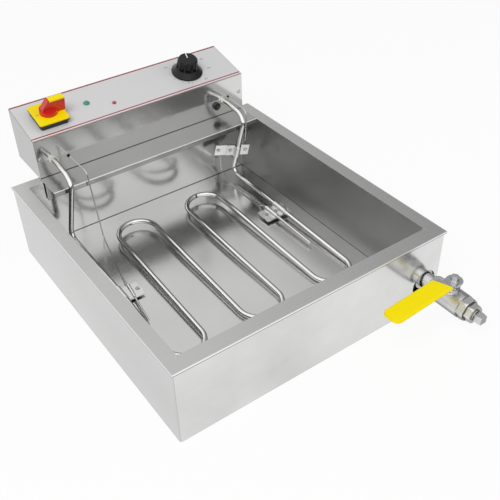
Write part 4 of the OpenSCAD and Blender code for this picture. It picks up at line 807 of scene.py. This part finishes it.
def swept_tube(name, points, radius, material, body, sides=24):
    """Closed round tube along points that lie nearly in one flat plane."""
    bm = bmesh.new()
    rings = []
    clean = [p for i, p in enumerate(points) if i == 0 or (p - points[i - 1]).length > 0.05 * mm]
    clean.insert(1, clean[0].lerp(clean[1], 0.5 * mm / (clean[1] - clean[0]).length))
    clean.insert(-1, clean[-1].lerp(clean[-2], 0.5 * mm / (clean[-2] - clean[-1]).length))
    for i, p in enumerate(clean):
        along = (clean[min(i + 1, len(clean) - 1)] - clean[max(i - 1, 0)]).normalized()
        side = along.cross(Vector((0, 0, 1))).normalized()
        over = side.cross(along)
        turns = [2 * pi * j / sides for j in range(sides)]
        rings.append([bm.verts.new(p + (side * cos(a) + over * sin(a)) * radius) for a in turns])
    for near, far in zip(rings, rings[1:]):
        for j in range(sides):
            bm.faces.new((near[j], near[(j + 1) % sides], far[(j + 1) % sides], far[j]))
    bm.faces.new(rings[0][::-1])
    bm.faces.new(rings[-1])
    bmesh.ops.recalc_face_normals(bm, faces=bm.faces)
    for f in bm.faces:
        f.smooth = len(f.verts) == 4
    mesh = bpy.data.meshes.new(name)
    bm.to_mesh(mesh)
    mesh.materials.append(material)
    piece = bpy.data.objects.new(name, mesh)
    bpy.context.scene.collection.objects.link(piece)
    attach(piece, body)
    return piece


# The first loop of the real tube leans outwards towards the front, and each front bend lies
# a little farther back than the next one to its right. All sizes here are in millimetres.
tube_radius, run_height, run_rise = 4.25, 25.94, 0.0237
bends = [(-172, 192.5), (-172, 3.5), (-178.5, -146), (-114, -146), (-107.5, 182), (-38.4, 182),
         (-42.5, -150), (30.8, -150), (30.8, 182), (99.9, 182), (99.9, -151), (169, -151), (169, 192.5)]
bend_radii = [0, 120, 31.7, 31.7, 34.5, 34.5, 36.4, 36.4] + 4 * [34.5] + [0]
corners = [Vector((x, y, run_height + run_rise * y)) * mm for x, y in bends]
coil = swept_tube("element_loops", rounded_path(corners, [r * mm for r in bend_radii]), tube_radius * mm,
                  heater, "control_head")
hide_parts("element_coil")


def shifted(name, offset, full_z, none_z, material, body):
    """Copy of a CAD node set over by an offset below one height, fading out towards another."""
    mesh = node[name].data.copy()
    mesh.materials.clear()
    mesh.materials.append(material)
    for v in mesh.vertices:
        v.co += Vector(offset) * min(max((none_z - v.co.z) / (none_z - full_z), 0), 1)
    piece = bpy.data.objects.new(name + "_set", mesh)
    bpy.context.scene.collection.objects.link(piece)
    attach(piece, body)
    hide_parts(name)


first_run_over = (-4 * mm, 4 * mm, 0.1 * mm)
shifted("element_left_leg", (-4 * mm, 0, 0), 35 * mm, 150 * mm, heater, "control_head")
nickel = grouped("nickel_brass", drawn_tube, (0.72, 0.71, 0.67), 1.0, Roughness=0.14, Straw=0.5)
eased("element_glands", 0.3 * mm, "control_head", nickel)
dress(nickel, "element_terminals")


# Three clamps of thin bright strip, each a plate and a strap with its screws: one ties the
# right leg, two hold the sensing bulbs to the outer runs.
strip = sheet_steel("clamp_strip", (0.86, 0.86, 0.85), 0.3, 0.1, 0.3, 0.1)
for where_at in ("leg", "right", "left"):
    for part in ("_bracket_plate", "_bracket_strap"):
        clamp = eased(where_at + part, 0.3 * mm, "control_head", strip)
        if where_at == "left":
            clamp.data.transform(Matrix.Translation(first_run_over))
dress(bolt_steel, "leg_bracket_screws", "right_bracket_screws")
shifted("left_bracket_screws", first_run_over, 60 * mm, 90 * mm, bolt_steel, "control_head")


# The thermostat's and the high-limit switch's bulbs, each on its thin capillary from the head.
# Where a capillary leaves the head's front it passes a small rubber grommet.
bulb_steel = grouped("bulb_steel", drawn_tube, (0.68, 0.67, 0.65), 1.0, Roughness=0.16, Straw=0.5)
dress(bulb_steel, "thermostat_bulb", "thermostat_capillary")
shifted("high_limit_bulb", first_run_over, 60 * mm, 90 * mm, bulb_steel, "control_head")
shifted("high_limit_capillary", first_run_over, 40 * mm, 160 * mm, bulb_steel, "control_head")
grommet_section = [(1.35 * mm, 0.02 * mm), (1.35 * mm, 0.9 * mm), (1.8 * mm, 1.3 * mm), (2.6 * mm, 1.1 * mm),
                   (3.1 * mm, 0.5 * mm), (3.1 * mm, 0.02 * mm), (1.35 * mm, 0.02 * mm)]
for i, (x, z) in enumerate(((188.5 * mm, 167 * mm), (-136 * mm, 161 * mm))):
    ring(f"grommet_{i}", (x, front_y, z), (0, -1, 0), grommet_section, rubber,
         "control_head")


# Behind and inside the head: the cord's gland with its nut on the back cover, and the
# ceramic block where the supply is joined on. None of it shows from the front.
eased("cord_gland", 0.4 * mm, "control_head", black)
eased("gland_nut", 0.5 * mm, "control_head", black)
dress(grouped("ceramic", moulded_skin, (0.75, 0.72, 0.62), Roughness=0.25, Depth=0.1), "terminal_block")
